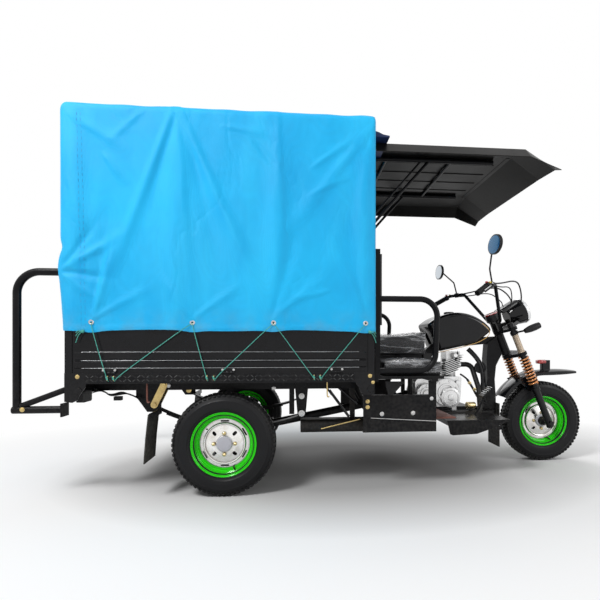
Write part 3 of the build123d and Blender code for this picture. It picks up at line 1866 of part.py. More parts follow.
with BuildPart() as hand_controls:
    for side in (-1, 1):
        lever = share_points(lever_share, bar_zero, bar_size)
        run_tube([at_fork(f, side * y, h) for f, y, h in lever], lever_radius, lever_bend)
        bar_sleeve(
            part_way(bar_route[2], bar_route[3], control_share[0]),
            part_way(bar_route[2], bar_route[3], control_share[1]),
            control_radius,
            side,
        )

hand_controls.part.label = "hand_controls"
export_step(hand_controls.part, "parts/hand_controls.step")

# Mirrors: oval heads on bent stalks clamped to the handlebar

mirror_clamp_share = (0.38, 0.6)
mirror_clamp_radius = 17
stalk_radius = 5
stalk_bend = 30
mirror_wide = 76
mirror_high = 57
mirror_thick = 18
mirror_round = 7
# route of a stalk and the middle of its mirror on the left side, as shares of the bar's size
stalk_share = (
    (-0.2613, 0.7146, 0.9893),
    (-0.1892, 0.7323, 1.0819),
    (-0.2072, 1.0606, 1.191),
)
mirror_share = (
    (-0.2072, 1.1667, 1.1998),
)
mirror_centre = share_points(mirror_share, bar_zero, bar_size)[0]

with BuildPart() as mirrors:
    for side in (-1, 1):
        centre = at_fork(mirror_centre[0], side * mirror_centre[1], mirror_centre[2])
        with BuildSketch(Plane(origin=centre, x_dir=(0, 1, 0), z_dir=(-1, 0, 0))) as head:
            Ellipse(mirror_wide, mirror_high)
        extrude(head.sketch, amount=mirror_thick / 2, both=True)
    fillet(mirrors.edges().group_by(Axis.X)[-1], mirror_round)
    for side in (-1, 1):
        stalk = share_points(stalk_share, bar_zero, bar_size)
        run_tube([at_fork(f, side * y, h) for f, y, h in stalk], stalk_radius, stalk_bend)
        bar_sleeve(
            part_way(bar_route[1], bar_route[2], mirror_clamp_share[0]),
            part_way(bar_route[1], bar_route[2], mirror_clamp_share[1]),
            mirror_clamp_radius,
            side,
        )

mirrors.part.label = "mirrors"
export_step(mirrors.part, "parts/mirrors.step")

# Gauge: a round speedometer case on the middle of the handlebar

gauge_low = bar_route[0][2] + bar_radius + seat_gap
gauge_deep = 54
gauge_radius = 49
gauge_rim = 5
gauge_face = 4

with BuildPart() as gauge:
    with BuildSketch(steer.offset(gauge_low)) as case:
        with Locations((bar_route[0][0], 0)):
            Circle(gauge_radius)
    extrude(case.sketch, amount=gauge_deep)
    fillet(gauge.edges().sort_by(Axis(at_fork(0, 0, 0), steer.z_dir))[0], gauge_rim)
    with BuildSketch(steer.offset(gauge_low + gauge_deep)) as dial:
        with Locations((bar_route[0][0], 0)):
            Circle(gauge_radius - gauge_rim)
    extrude(dial.sketch, amount=-gauge_face, mode=Mode.SUBTRACT)

gauge.part.label = "gauge"
export_step(gauge.part, "parts/gauge.step")

# Headlamp: a bowl with a round rim, held by ears that clamp the fork tubes

bowl_up = 754
bowl_back = 96
bowl_front = 205
bowl_small = 48
bowl_large = 84
lamp_rim = 16
lamp_rim_radius = 88
lens_radius = 78
lens_deep = 5
ear_low = 694
lamp_ear_sheet = 24
ear_ring = 25
ear_bore = leg_radius + seat_gap
ear_reach = 152
ear_inner = 45
ear_end = 14

with BuildPart() as headlamp:
    back = Plane(
        origin=at_fork(bowl_back, 0, bowl_up), x_dir=(0, 1, 0), z_dir=steer.x_dir
    )
    with BuildSketch(back) as small:
        Circle(bowl_small)
    with BuildSketch(back.offset((bowl_front - bowl_back) * 0.5)) as middle:
        Circle(bowl_small + (bowl_large - bowl_small) * 0.72)
    with BuildSketch(back.offset(bowl_front - bowl_back)) as large:
        Circle(bowl_large)
    loft([small.sketch, middle.sketch, large.sketch])
    with BuildSketch(back.offset(bowl_front - bowl_back)) as rim:
        Circle(lamp_rim_radius)
    extrude(rim.sketch, amount=lamp_rim)
    with BuildSketch(back.offset(bowl_front - bowl_back + lamp_rim)) as lens:
        Circle(lens_radius)
    extrude(lens.sketch, amount=-lens_deep, mode=Mode.SUBTRACT)
    for side in (-1, 1):
        with BuildSketch(steer.offset(ear_low)) as ear:
            with Locations((steer_offset, side * leg_y)):
                Circle(ear_ring)
            with Locations((ear_reach, side * ear_inner)):
                Circle(ear_end)
            make_hull()
            with Locations((steer_offset, side * leg_y)):
                Circle(ear_bore, mode=Mode.SUBTRACT)
        extrude(ear.sketch, amount=lamp_ear_sheet)

headlamp.part.label = "headlamp"
export_step(headlamp.part, "parts/headlamp.step")

# Front signals: lamp pods on stalks that clamp the fork tubes below the upper yoke

signal_low = 640
signal_sheet = 22
signal_ring = 25
signal_y = 200
signal_back = 76
signal_front = 181
signal_radius = 22
signal_tip = 15
signal_stalk = 6

with BuildPart() as front_signals:
    for side in (-1, 1):
        middle = signal_low + signal_sheet / 2
        run_tube(
            (
                at_fork(steer_offset, side * leg_y, middle),
                at_fork(signal_back + signal_radius, side * signal_y, middle),
            ),
            signal_stalk,
        )
        back = Plane(
            origin=at_fork(signal_back, side * signal_y, middle), x_dir=(0, 1, 0), z_dir=steer.x_dir
        )
        with BuildSketch(back) as small:
            Circle(signal_tip)
        with BuildSketch(back.offset((signal_front - signal_back) * 0.4)) as large:
            Circle(signal_radius)
        with BuildSketch(back.offset(signal_front - signal_back)) as tip:
            Circle(signal_radius * 0.9)
        loft([small.sketch, large.sketch, tip.sketch])
        with BuildSketch(steer.offset(signal_low)) as ring:
            with Locations((steer_offset, side * leg_y)):
                Circle(signal_ring)
        extrude(ring.sketch, amount=signal_sheet)
        with BuildSketch(steer.offset(signal_low)) as bore:
            with Locations((steer_offset, side * leg_y)):
                Circle(ear_bore)
        extrude(bore.sketch, amount=signal_sheet, mode=Mode.SUBTRACT)

front_signals.part.label = "front_signals"
export_step(front_signals.part, "parts/front_signals.step")

# Front fender: an arc over the tyre with a straight beak, a lamp on top and stays to the fork

fender_radius = 350
fender_sheet = 3
fender_half = 72
fender_rear_angle = 150
fender_top_angle = 92
fender_crown = 14
fender_skirt = 20
beak_reach = 242
beak_z = 629
beak_droop = 10
beak_half = 46
stay_radius = 28
stay_bore = slider_radius + seat_gap
stay_low = 236
stay_sheet = 22
stay_half = 26
stay_top = 340
fender_lamp_ahead = 12
fender_lamp_x = front_x + fender_lamp_ahead
fender_lamp_length = 60
fender_lamp_half = 19
fender_lamp_top = 690
fender_lamp_round = 9


def fender_section(plane, half, crown, skirt):
    """A section across the fender: a crowned sheet with its two edges turned down."""
    foot = -crown - skirt
    with BuildSketch(plane) as section:
        with BuildLine():
            ThreePointArc((-half, -crown), (0, 0), (half, -crown))
            Line((half, -crown), (half, foot))
            Line((half, foot), (half - fender_sheet, foot))
            Line((half - fender_sheet, foot), (half - fender_sheet, -crown - fender_sheet))
            ThreePointArc(
                (half - fender_sheet, -crown - fender_sheet),
                (0, -fender_sheet),
                (fender_sheet - half, -crown - fender_sheet),
            )
            Line((fender_sheet - half, -crown - fender_sheet), (fender_sheet - half, foot))
            Line((fender_sheet - half, foot), (-half, foot))
            Line((-half, foot), (-half, -crown))
        make_face()
    return section.sketch


with BuildPart() as front_fender:
    top = radians(fender_top_angle)
    crest = Plane(
        origin=(
            front_x + fender_radius * cos(top),
            0,
            tyre_radius + fender_radius * sin(top),
        ),
        x_dir=(0, 1, 0),
        z_dir=(sin(top), 0, -cos(top)),
    )
    crest_section = fender_section(crest, fender_half, fender_crown, fender_skirt)
    revolve(
        crest_section,
        axis=Axis((front_x, 0, tyre_radius), (0, -1, 0)),
        revolution_arc=fender_rear_angle - fender_top_angle,
    )
    beak_mid = Plane(
        origin=(front_x + beak_reach * 0.6, 0, beak_z - beak_droop * 0.1),
        x_dir=(0, 1, 0),
        z_dir=(1, 0, 0),
    )
    beak_tip = Plane(
        origin=(front_x + beak_reach, 0, beak_z - beak_droop), x_dir=(0, 1, 0), z_dir=(1, 0, 0)
    )
    loft(
        [
            crest_section,
            fender_section(beak_mid, fender_half * 0.9, fender_crown * 0.9, fender_skirt * 1.1),
            fender_section(beak_tip, beak_half, fender_crown * 0.5, fender_skirt * 0.6),
        ]
    )
    for side in (-1, 1):
        with BuildSketch(steer.offset(stay_low)) as stay:
            with Locations((steer_offset, side * leg_y)):
                Circle(stay_radius)
        extrude(stay.sketch, amount=stay_sheet)
        with BuildSketch(side_view(side * (fender_half - fender_sheet / 2))) as plate:
            with BuildLine():
                Polyline(
                    *[
                        (at_fork(f, 0, h).X, at_fork(f, 0, h).Z)
                        for f, h in (
                            (steer_offset - stay_half, stay_low),
                            (steer_offset + stay_half, stay_low),
                            (steer_offset + 3 * stay_half, stay_top),
                            (steer_offset - 3 * stay_half, stay_top),
                        )
                    ],
                    close=True,
                )
            make_face()
        extrude(plate.sketch, amount=fender_sheet / 2, both=True)
        with BuildSketch(steer.offset(stay_low)) as lug:
            low, high = sorted((side * (fender_half - fender_sheet), side * leg_y))
            with Locations((steer_offset, (low + high) / 2)):
                Rectangle(stay_half, high - low)
        extrude(lug.sketch, amount=stay_sheet)
        with BuildSketch(steer.offset(stay_low)) as bore:
            with Locations((steer_offset, side * leg_y)):
                Circle(stay_bore)
        extrude(bore.sketch, amount=stay_sheet, mode=Mode.SUBTRACT)
    with BuildSketch(Plane.XY.offset(beak_z - 3 * fender_sheet)) as lamp_foot:
        with Locations((fender_lamp_x + fender_lamp_length / 2, 0)):
            RectangleRounded(fender_lamp_length, 2 * fender_lamp_half, fender_lamp_round)
    extrude(lamp_foot.sketch, amount=fender_lamp_top - beak_z + 3 * fender_sheet)

front_fender.part.label = "front_fender"
export_step(front_fender.part, "parts/front_fender.step")
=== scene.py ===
"""Dressed model of a cargo motor tricycle with a canvas canopy.

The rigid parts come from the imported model. This file adds their finishes, the canvas, the
padded seats, the lashing ropes and the small fittings, with a plain studio round them.
Lengths are metres, +X is forward, +Y is to the left and +Z is up.
"""

from __future__ import annotations

import logging
import math
from dataclasses import dataclass
from enum import Enum
from functools import cache
from typing import Callable, Sequence

import bpy
from mathutils import Matrix, Vector


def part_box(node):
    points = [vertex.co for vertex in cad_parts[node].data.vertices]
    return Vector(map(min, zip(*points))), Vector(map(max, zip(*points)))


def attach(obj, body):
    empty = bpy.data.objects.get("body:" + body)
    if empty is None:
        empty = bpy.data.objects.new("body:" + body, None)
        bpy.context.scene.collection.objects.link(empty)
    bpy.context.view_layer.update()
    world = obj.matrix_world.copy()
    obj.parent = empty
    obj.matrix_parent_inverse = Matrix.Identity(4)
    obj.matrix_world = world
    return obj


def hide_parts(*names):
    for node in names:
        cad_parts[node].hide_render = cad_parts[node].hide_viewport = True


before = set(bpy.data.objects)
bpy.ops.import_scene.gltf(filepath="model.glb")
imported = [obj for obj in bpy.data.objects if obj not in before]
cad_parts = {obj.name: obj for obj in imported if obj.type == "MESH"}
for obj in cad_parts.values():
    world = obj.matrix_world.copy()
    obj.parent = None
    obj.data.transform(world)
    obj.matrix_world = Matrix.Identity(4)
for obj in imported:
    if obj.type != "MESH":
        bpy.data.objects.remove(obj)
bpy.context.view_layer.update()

log = logging.getLogger("tricycle")

Colour = tuple[float, float, float]
Point = tuple[float, float, float]
Pair = tuple[float, float]
Piece = bpy.types.Object
Socket = bpy.types.NodeSocket

REAR_X = -0.653
FRONT_X = 1.427
TRACK_HALF = 0.52
TYRE_RADIUS = 0.272
RAKE = math.radians(22)
SIDES = (-1, 1)
WHITE = (1.0, 1.0, 1.0)


class Body(Enum):
    """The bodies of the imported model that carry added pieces."""

    CHASSIS = "chassis"
    STEERING = "steering"
    FRONT_WHEEL = "front_wheel_set"
    LEFT_WHEEL = "rear_left_wheel_set"
    RIGHT_WHEEL = "rear_right_wheel_set"


# name, middle, sign of y of the outer face, body
WHEEL_PLACES = (
    ("front", (FRONT_X, 0.0, TYRE_RADIUS), -1, Body.FRONT_WHEEL),
    ("rear_left", (REAR_X, TRACK_HALF, TYRE_RADIUS), 1, Body.LEFT_WHEEL),
    ("rear_right", (REAR_X, -TRACK_HALF, TYRE_RADIUS), -1, Body.RIGHT_WHEEL),
)


# finishes


class Bench:
    """A small work bench for the node tree of one finish or sky."""

    def __init__(self, owner: bpy.types.ID, kind: str = "Material") -> None:
        """Start an empty node tree with its output.

        Args:
            owner: the material or world.
            kind: Material or World.
        """
        self.owner = owner
        owner.use_nodes = True
        self.tree = owner.node_tree
        self.tree.nodes.clear()
        self.out = self.tree.nodes.new(f"ShaderNodeOutput{kind}").inputs[0]
        if kind == "Material":
            self.shader = self.tree.nodes.new("ShaderNodeBsdfPrincipled")
            self.put(self.out, self.shader.outputs[0])
            self.place = self.node("TexCoord", "Object")

    def put(self, socket: Socket, value: object) -> None:
        """Link a socket to another socket, or set its plain value.

        Args:
            socket: the input to fill.
            value: an output socket, a number or a colour.
        """
        if isinstance(value, bpy.types.NodeSocket):
            self.tree.links.new(value, socket)
        elif isinstance(value, tuple) and len(value) == 3 and len(socket.default_value) == 4:
            socket.default_value = (*value, 1.0)
        else:
            socket.default_value = value

    def node(self, kind: str, output: str | int = 0, inputs: dict | None = None,
             **settings: object) -> Socket:
        """Add a node.

        Args:
            kind: end of the name of its type.
            output: name or number of the output that is wanted.
            inputs: what its inputs take, by name or number.
            settings: its other settings.

        Returns:
            The output.
        """
        node = self.tree.nodes.new(f"ShaderNode{kind}")
        for name, value in settings.items():
            setattr(node, name, value)
        for name, value in (inputs or {}).items():
            self.put(node.inputs[name], value)
        return node.outputs[output]

    def shade(self, **values: object) -> None:
        """Set inputs of the shader by their names, with _ for a space.

        Args:
            values: input names and what they take.
        """
        for name, value in values.items():
            self.put(self.shader.inputs[name.replace("_", " ")], value)

    def stretch(self, *factors: float) -> Socket:
        """The object's coordinates, scaled along X, Y and Z."""
        return self.node("Mapping", 0, {"Vector": self.place, "Scale": factors})

    def noise(self, scale: float, detail: float = 3.0, at: Socket | None = None) -> Socket:
        """A cloudy value between 0 and 1.

        Args:
            scale: patches to the metre.
            detail: number of finer layers.
            at: coordinates, or none for the object's own.

        Returns:
            The value.
        """
        return self.node("TexNoise", "Fac", {"Vector": at or self.place, "Scale": scale, "Detail": detail})

    def stripes(self, scale: float, axis: str) -> Socket:
        """Soft stripes across one axis, between 0 and 1."""
        return self.node("TexWave", "Fac", {"Vector": self.place, "Scale": scale}, bands_direction=axis)

    def axis(self, name: str) -> Socket:
        """One coordinate of the object in metres."""
        return self.node("SeparateXYZ", name, {0: self.place})

    def sum(self, kind: str, first: object, second: object = 0.0) -> Socket:
        """The result of a named operation on two values."""
        return self.node("Math", 0, {0: first, 1: second}, operation=kind)

    def span(self, value: object, low: float, high: float, start: float = 0.0, end: float = 1.0) -> Socket:
        """A value carried from one span to another and held at its ends.

        Args:
            value: the value.
            low: start of its span.
            high: end of its span.
            start: what the low end gives.
            end: what the high end gives.

        Returns:
            The carried value.
        """
        return self.node("MapRange", 0, {"Value": value, "From Min": low, "From Max": high,
                                         "To Min": start, "To Max": end})

    def blend(self, share: object, first: object, second: object) -> Socket:
        """A mix of two colours, by the share of the second."""
        return self.node("Mix", 2, {0: share, 6: first, 7: second}, data_type="RGBA")

    def relief(self, height: object, strength: float, depth: float) -> None:
        """Raise and sink the surface by a value.

        Args:
            height: the value.
            strength: share of the effect.
            depth: depth in metres.
        """
        normal = self.shader.inputs["Normal"]
        inputs = {"Height": height, "Strength": strength, "Distance": depth}
        if normal.is_linked:
            inputs["Normal"] = normal.links[0].from_socket
        self.put(normal, self.node("Bump", 0, inputs))

    def straight(self) -> Socket:
        """Find the rays that see a thing straight, mirrored or through a clear piece.

        Returns:
            1 for such rays and 0 for others.
        """
        path = self.tree.nodes.new("ShaderNodeLightPath").outputs
        return self.sum("MAXIMUM", self.sum("MAXIMUM", path["Is Camera Ray"], path["Is Glossy Ray"]),
                        path["Is Transmission Ray"])


@dataclass(frozen=True)
class Finish:
    """A painted, plated, cast or moulded surface with patches, grain, road dust and painted shade in its
    crevices.

    Attributes:
        name: name of the finish.
        slot: name of its material slot.
        colour: main colour.
        worn: colour of its patches and scuffs.
        roughness: mean roughness.
        metallic: 1 for bare metal.
        patch: patches to the metre.
        wear: how far the patches show.
        grain: fine grain to the metre.
        grain_depth: depth of the grain in metres.
        coat: weight of a clear coat.
        dust: how much dust lies low down.
        specular: strength of the plain reflection.
        crevice_shade: share of painted shade that darkens its gaps and corners.
    """

    name: str
    slot: str
    colour: Colour
    worn: Colour
    roughness: float = 0.4
    metallic: float = 0.0
    patch: float = 7.0
    wear: float = 0.4
    grain: float = 420.0
    grain_depth: float = 0.0004
    coat: float = 0.0
    dust: float = 0.0
    specular: float = 0.5
    crevice_shade: float = 0.0

    @cache
    def material(self) -> bpy.types.Material:
        """Make the material when it is first asked for.

        Returns:
            The material.
        """
        bench = Bench(bpy.data.materials.new(self.name))
        self.mix(bench)
        return bench.owner

    def mix(self, bench: Bench) -> None:
        """Build the look.

        Args:
            bench: where its nodes go.
        """
        cloud = bench.noise(self.patch, 6.0)
        speck = bench.noise(self.patch * 9, 3.0)
        worn = bench.span(bench.sum("ADD", cloud, bench.sum("MULTIPLY", speck, 0.35)), 0.6, 0.95)
        colour = bench.blend(bench.sum("MULTIPLY", worn, self.wear), self.colour, self.worn)
        rough = bench.span(cloud, 0.3, 0.7, max(self.roughness - 0.07, 0.02), self.roughness + 0.09)
        if self.dust:
            low = bench.span(bench.axis("Z"), 0.15, 0.75, self.dust, 0.0)
            veil = bench.sum("MULTIPLY", low, bench.span(speck, 0.35, 0.65))
            colour = bench.blend(veil, colour, (0.3, 0.28, 0.25))
            rough = bench.sum("ADD", rough, bench.sum("MULTIPLY", veil, 0.4))
        # Painted shade: an ambient occlusion mask blends the colour towards near-black in gaps and corners.
        if self.crevice_shade:
            openness = bench.node("AmbientOcclusion", "AO", {"Distance": 0.03})
            gap = bench.span(openness, 0.25, 0.85, self.crevice_shade, 0.0)
            colour = bench.blend(gap, colour, (0.02, 0.02, 0.02))
        bench.shade(Base_Color=colour, Roughness=rough, Metallic=self.metallic, Coat_Weight=self.coat,
                    Specular_IOR_Level=self.specular, Coat_Roughness=0.08)
        bench.relief(bench.noise(self.grain, 2.0), 0.35, self.grain_depth)
        bench.relief(bench.noise(self.patch * 2, 2.0), 0.25, 0.0006)


@dataclass(frozen=True)
class Canvas(Finish):
    """Coated sky blue canvas: woven, creased, pale-streaked and dusty at its hem."""

    pale: Colour = (0.035, 0.58, 0.93)

    def mix(self, bench: Bench) -> None:
        """Build the look.

        Args:
            bench: where its nodes go.
        """
        cloud = bench.noise(1.7, 5.0)
        colour = bench.blend(bench.span(cloud, 0.35, 0.65), self.worn, self.colour)
        streak = bench.noise(5.0, 4.0, bench.stretch(1.0, 1.0, 0.25))
        colour = bench.blend(bench.span(streak, 0.5, 0.8, 0.0, 0.6), colour, self.pale)
        hem = bench.span(bench.axis("Z"), 0.86, 0.99, 0.35, 0.0)
        grime = bench.sum("MULTIPLY", hem, bench.span(bench.noise(14.0, 5.0), 0.4, 0.7))
        colour = bench.blend(grime, colour, (0.16, 0.30, 0.38))
        warp = bench.sum("ADD", bench.stripes(150.0, "X"), bench.stripes(150.0, "Z"))
        threads = bench.sum("ADD", warp, bench.stripes(150.0, "Y"))
        colour = bench.blend(bench.span(threads, 0.6, 2.4, 0.1, 0.0), colour, (0.01, 0.2, 0.45))
        bench.shade(Base_Color=colour, Roughness=bench.span(cloud, 0.3, 0.7, 0.42, 0.58), Sheen_Weight=0.05,
                    Specular_IOR_Level=self.specular)
        bench.relief(threads, 0.35, 0.0006)
        bent = bench.sum("SUBTRACT", bench.noise(2.6, 5.0, bench.stretch(1.0, 1.0, 0.6)), 0.5)
        bench.relief(bench.span(bench.sum("ABSOLUTE", bent), 0.0, 0.035), 0.30, 0.004)
        bench.relief(bench.noise(9.0, 4.0, bench.stretch(1.0, 1.0, 0.55)), 0.4, 0.006)
        bench.relief(bench.noise(34.0, 3.0), 0.3, 0.0015)


@dataclass(frozen=True)
class Leather(Finish):
    """Black leather cloth with a pebbled grain."""

    def mix(self, bench: Bench) -> None:
        """Build the look.

        Args:
            bench: where its nodes go.
        """
        colour = bench.blend(bench.span(bench.noise(9.0, 5.0), 0.45, 0.75), self.colour, self.worn)
        pebble = bench.node("TexVoronoi", "Distance", {"Vector": bench.place, "Scale": 340.0})
        bench.shade(Base_Color=colour, Specular_IOR_Level=self.specular,
                    Roughness=bench.span(pebble, 0.0, 0.6, self.roughness, self.roughness + 0.2))
        bench.relief(pebble, 0.4, 0.0006)
        bench.relief(bench.noise(26.0, 4.0), 0.35, 0.003)


@dataclass(frozen=True)
class Film(Finish):
    """Thin clear plastic film, crinkled over a seat."""

    def mix(self, bench: Bench) -> None:
        """Build the look.

        Args:
            bench: where its nodes go.
        """
        crease = bench.noise(9.0, 5.0, bench.stretch(0.45, 1.0, 2.2))
        ridge = bench.sum("ABSOLUTE", bench.sum("SUBTRACT", crease, 0.5))
        bench.shade(Base_Color=self.colour, Roughness=bench.span(crease, 0.3, 0.7, 0.08, 0.22),
                    Alpha=bench.span(ridge, 0.0, 0.06, 0.38, 0.05))
        bench.relief(ridge, 0.9, 0.006)
        bench.relief(bench.noise(60.0, 5.0), 0.6, 0.002)


@dataclass(frozen=True)
class TyreRubber(Finish):
    """Black tyre rubber, dusty grey where it meets the road."""

    centre: Point = (0.0, 0.0, 0.0)

    def mix(self, bench: Bench) -> None:
        """Build the look.

        Args:
            bench: where its nodes go.
        """
        across = bench.sum("SUBTRACT", bench.axis("X"), self.centre[0])
        up = bench.sum("SUBTRACT", bench.axis("Z"), self.centre[2])
        squares = bench.sum("ADD", bench.sum("POWER", across, 2.0), bench.sum("POWER", up, 2.0))
        radius = bench.sum("POWER", squares, 0.5)
        cloud = bench.noise(16.0, 6.0)
        tread = bench.span(radius, 0.235, TYRE_RADIUS, 0.0, 0.22)
        dust = bench.sum("MULTIPLY", tread, bench.span(cloud, 0.35, 0.7))
        bench.shade(Base_Color=bench.blend(dust, self.colour, self.worn), Specular_IOR_Level=self.specular,
                    Roughness=bench.span(cloud, 0.3, 0.7, 0.36, 0.55))
        rings = bench.sum("SINE", bench.sum("MULTIPLY", radius, 1300.0))
        bench.relief(bench.sum("MULTIPLY", rings, bench.span(radius, 0.17, 0.2, 1.0, 0.0)), 0.25, 0.0008)
        bench.relief(bench.noise(260.0, 3.0), 0.3, 0.0005)


class Paint:
    """All finishes of the tricycle."""

    FRAME = Finish("frame_paint", "frame_black", (0.005, 0.005, 0.006), (0.10, 0.095, 0.09), 0.30,
                   wear=0.06, dust=0.06, specular=0.12)
    GLOSS = Finish("gloss_paint", "gloss_black", (0.004, 0.004, 0.005), (0.015, 0.015, 0.016), 0.10,
                   wear=0.2, grain_depth=0.0001, specular=0.3)
    PANEL = Finish("panel_paint", "panel_black", (0.005, 0.005, 0.006), (0.03, 0.03, 0.032), 0.14,
                   wear=0.12, dust=0.04, grain_depth=0.0002, specular=0.2)
    PLATED = Finish("zinc_plate", "plated_steel", (0.62, 0.47, 0.20), (0.35, 0.25, 0.12), 0.3, 0.9, 30.0,
                    0.6)
    STEEL = Finish("bare_steel", "plated_steel", (0.58, 0.58, 0.58), (0.32, 0.29, 0.25), 0.32, 0.95, 24.0,
                   0.5)
    CHROME = Finish("chrome_plate", "plated_steel", (0.80, 0.81, 0.82), (0.55, 0.55, 0.55), 0.1, 1.0, 12.0,
                    0.3, grain_depth=0.0001)
    # The alloy, green wheel, silver wheel and copper spring finishes below carry painted shade in their gaps
    # and corners.
    ALLOY = Finish("cast_alloy", "engine_alloy", (0.92, 0.92, 0.92), (0.55, 0.54, 0.53), 0.24, 0.5, 26.0,
                   0.45, 700.0, crevice_shade=1.0)
    EXHAUST = Finish("exhaust_paint", "", (0.008, 0.008, 0.008), (0.05, 0.035, 0.025), 0.4, wear=0.3,
                     dust=0.06, specular=0.2)
    RUBBER = Finish("flap_rubber", "", (0.022, 0.022, 0.021), (0.07, 0.065, 0.055), 0.7, wear=0.5,
                    dust=0.15, specular=0.2)
    GRIP = Finish("grip_rubber", "grip_rubber", (0.01, 0.01, 0.01), (0.04, 0.04, 0.04), 0.5, specular=0.2)
    PLASTIC = Finish("black_plastic", "black_plastic", (0.008, 0.008, 0.009), (0.03, 0.03, 0.03), 0.35,
                     grain=900.0, specular=0.2)
    GREEN = Finish("wheel_green_paint", "wheel_green", (0.02, 0.62, 0.002), (0.012, 0.36, 0.004), 0.16,
                   patch=22.0, wear=0.3, grain_depth=0.0001, crevice_shade=0.5, specular=0.25)
    SILVER = Finish("wheel_silver_paint", "plated_steel", (0.88, 0.87, 0.85), (0.50, 0.44, 0.36), 0.16, 0.9,
                    18.0, 0.6, crevice_shade=1.0)
    CAP = Finish("cap_paint", "plated_steel", (0.42, 0.42, 0.46), (0.36, 0.36, 0.40), 0.28)
    YELLOW = Finish("yellow_plastic", "black_plastic", (0.80, 0.58, 0.03), (0.6, 0.4, 0.02), 0.3)
    GOLD = Finish("gold_stripe", "gloss_black", (0.62, 0.36, 0.09), (0.5, 0.28, 0.07), 0.3, coat=0.4)
    # Painted reflection: this dark blue stands in for the sky seen in the right mirror.
    MIRROR_PAINTED_SKY = Finish("mirror_face_painted_sky_reflection", "plated_steel", (0.02, 0.13, 0.27), (0.015, 0.09, 0.20), 0.08,
                        0.7, grain_depth=0.00001)
    MIRROR = Finish("mirror_face", "plated_steel", (0.55, 0.60, 0.65), (0.50, 0.56, 0.62), 0.04, 1.0,
                    wear=0.1, grain_depth=0.00001)
    ROOF = Finish("roof_plastic", "", (0.006, 0.0055, 0.005), (0.016, 0.015, 0.013), 0.35, patch=3.0,
                  wear=0.35, specular=0.1)
    RED = Finish("red_lens", "red_lens", (0.42, 0.012, 0.01), (0.2, 0.01, 0.01), 0.16, coat=0.9)
    AMBER = Finish("amber_lens", "red_lens", (0.75, 0.20, 0.015), (0.5, 0.1, 0.01), 0.16, coat=0.9)
    CLEAR = Finish("clear_lens", "plated_steel", (0.50, 0.53, 0.55), (0.7, 0.72, 0.74), 0.08, 0.6, 90.0,
                   coat=1.0)
    COPPER = Finish("copper_spring_paint", "copper_paint", (0.62, 0.24, 0.07), (0.35, 0.12, 0.04), 0.2,
                    0.45, coat=0.6, grain_depth=0.0001, crevice_shade=0.9)
    CHAMPAGNE = Finish("fork_tube_paint", "fork_steel", (0.46, 0.36, 0.26), (0.3, 0.24, 0.18), 0.28, 0.4,
                       coat=0.5)
    HEEL = Finish("heel_plate_paint", "frame_black", (0.13, 0.035, 0.02), (0.08, 0.03, 0.02), 0.5)
    WORN_PLATE = Finish("tread_plate", "panel_black", (0.02, 0.02, 0.021), (0.16, 0.16, 0.16), 0.25,
                        patch=30.0, wear=0.7, specular=0.5)
    # Painted highlight: light grey beads on the black panels' rib edges stand in for the glints on the
    # pressed ribs.
    RIB_HIGHLIGHT = Finish("rib_edge_painted_highlight", "panel_black", (0.30, 0.31, 0.32), (0.05, 0.05, 0.05), 0.15, patch=9.0,
                  wear=0.9, specular=0.8)
    NAVY = Finish("navy_cloth", "canopy_canvas", (0.006, 0.018, 0.075), (0.01, 0.03, 0.10), 0.6)
    COWL = Finish("cowl_plastic", "black_plastic", (0.006, 0.006, 0.007), (0.03, 0.03, 0.03), 0.2,
                  specular=0.4)
    DIAL = Finish("dial_face", "black_plastic", (0.02, 0.02, 0.025), (0.03, 0.03, 0.03), 0.2, coat=0.3)
    BRASS = Finish("brass", "plated_steel", (0.62, 0.50, 0.27), (0.34, 0.26, 0.14), 0.24, 0.9, 40.0)
    ROPE = Finish("teal_rope", "canopy_canvas", (0.05, 0.33, 0.26), (0.14, 0.50, 0.42), 0.75, patch=80.0,
                  wear=0.8, grain=1500.0, grain_depth=0.0008)
    SEAM = Finish("seam_thread", "canopy_canvas", (0.02, 0.30, 0.62), (0.05, 0.45, 0.8), 0.6)
    CANVAS = Canvas("coated_canvas", "canopy_canvas", (0.010, 0.47, 0.86), (0.006, 0.37, 0.74),
                    specular=0.22)
    LEATHER = Leather("seat_leather", "seat_leather", (0.010, 0.010, 0.011), (0.04, 0.04, 0.042), 0.34,
                      specular=0.3)
    FILM = Film("clear_film", "seat_leather", (0.80, 0.81, 0.84), (0.80, 0.81, 0.84))
    TYRES = {name: TyreRubber(f"{name}_tyre_rubber", "tyre_rubber", (0.007, 0.007, 0.008),
                              (0.09, 0.088, 0.08), specular=0.2, centre=place)
             for name, place, _, _ in WHEEL_PLACES}

    NODES = (
        (FRAME, "bed_frame rear_axle rear_hoops canopy_frame front_frame seat_frame armrest_hoops roof_frame "
                "fork_yokes handlebar footboards leaf_springs side_skirts wheel_guards"),
        (PANEL, "bed_floor corner_posts side_panel_left side_panel_right bed_front_wall tailgate"),
        (GLOSS, "fuel_tank side_covers headlamp front_fender fork_legs"),
        (PLATED, "spring_shackles gate_hinges"),
        (RUBBER, "mudflaps"),
        (CANVAS, "canopy_cover rear_curtain"),
        (LEATHER, "bench_cushions driver_saddle backrest"),
        (ROOF, "driver_roof"),
        (ALLOY, "engine_case engine_cylinder"),
        (EXHAUST, "exhaust"),
        (COPPER, "fork_springs"),
        (GRIP, "hand_grips"),
        (PLASTIC, "hand_controls mirrors gauge front_signals tail_lamps"),
        (GREEN, "front_wheel rear_left_wheel rear_right_wheel"),
        *((rubber, f"{name}_tyre") for name, rubber in TYRES.items()),
    )

    @classmethod
    def dress_nodes(cls) -> None:
        """Give every carried-over node its finish."""
        for finish, names in cls.NODES:
            for name in names.split():
                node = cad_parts[name]
                if not node.material_slots:
                    node.data.materials.append(finish.material())
                for slot in node.material_slots:
                    slot.material = finish.material()


# modelling by hand


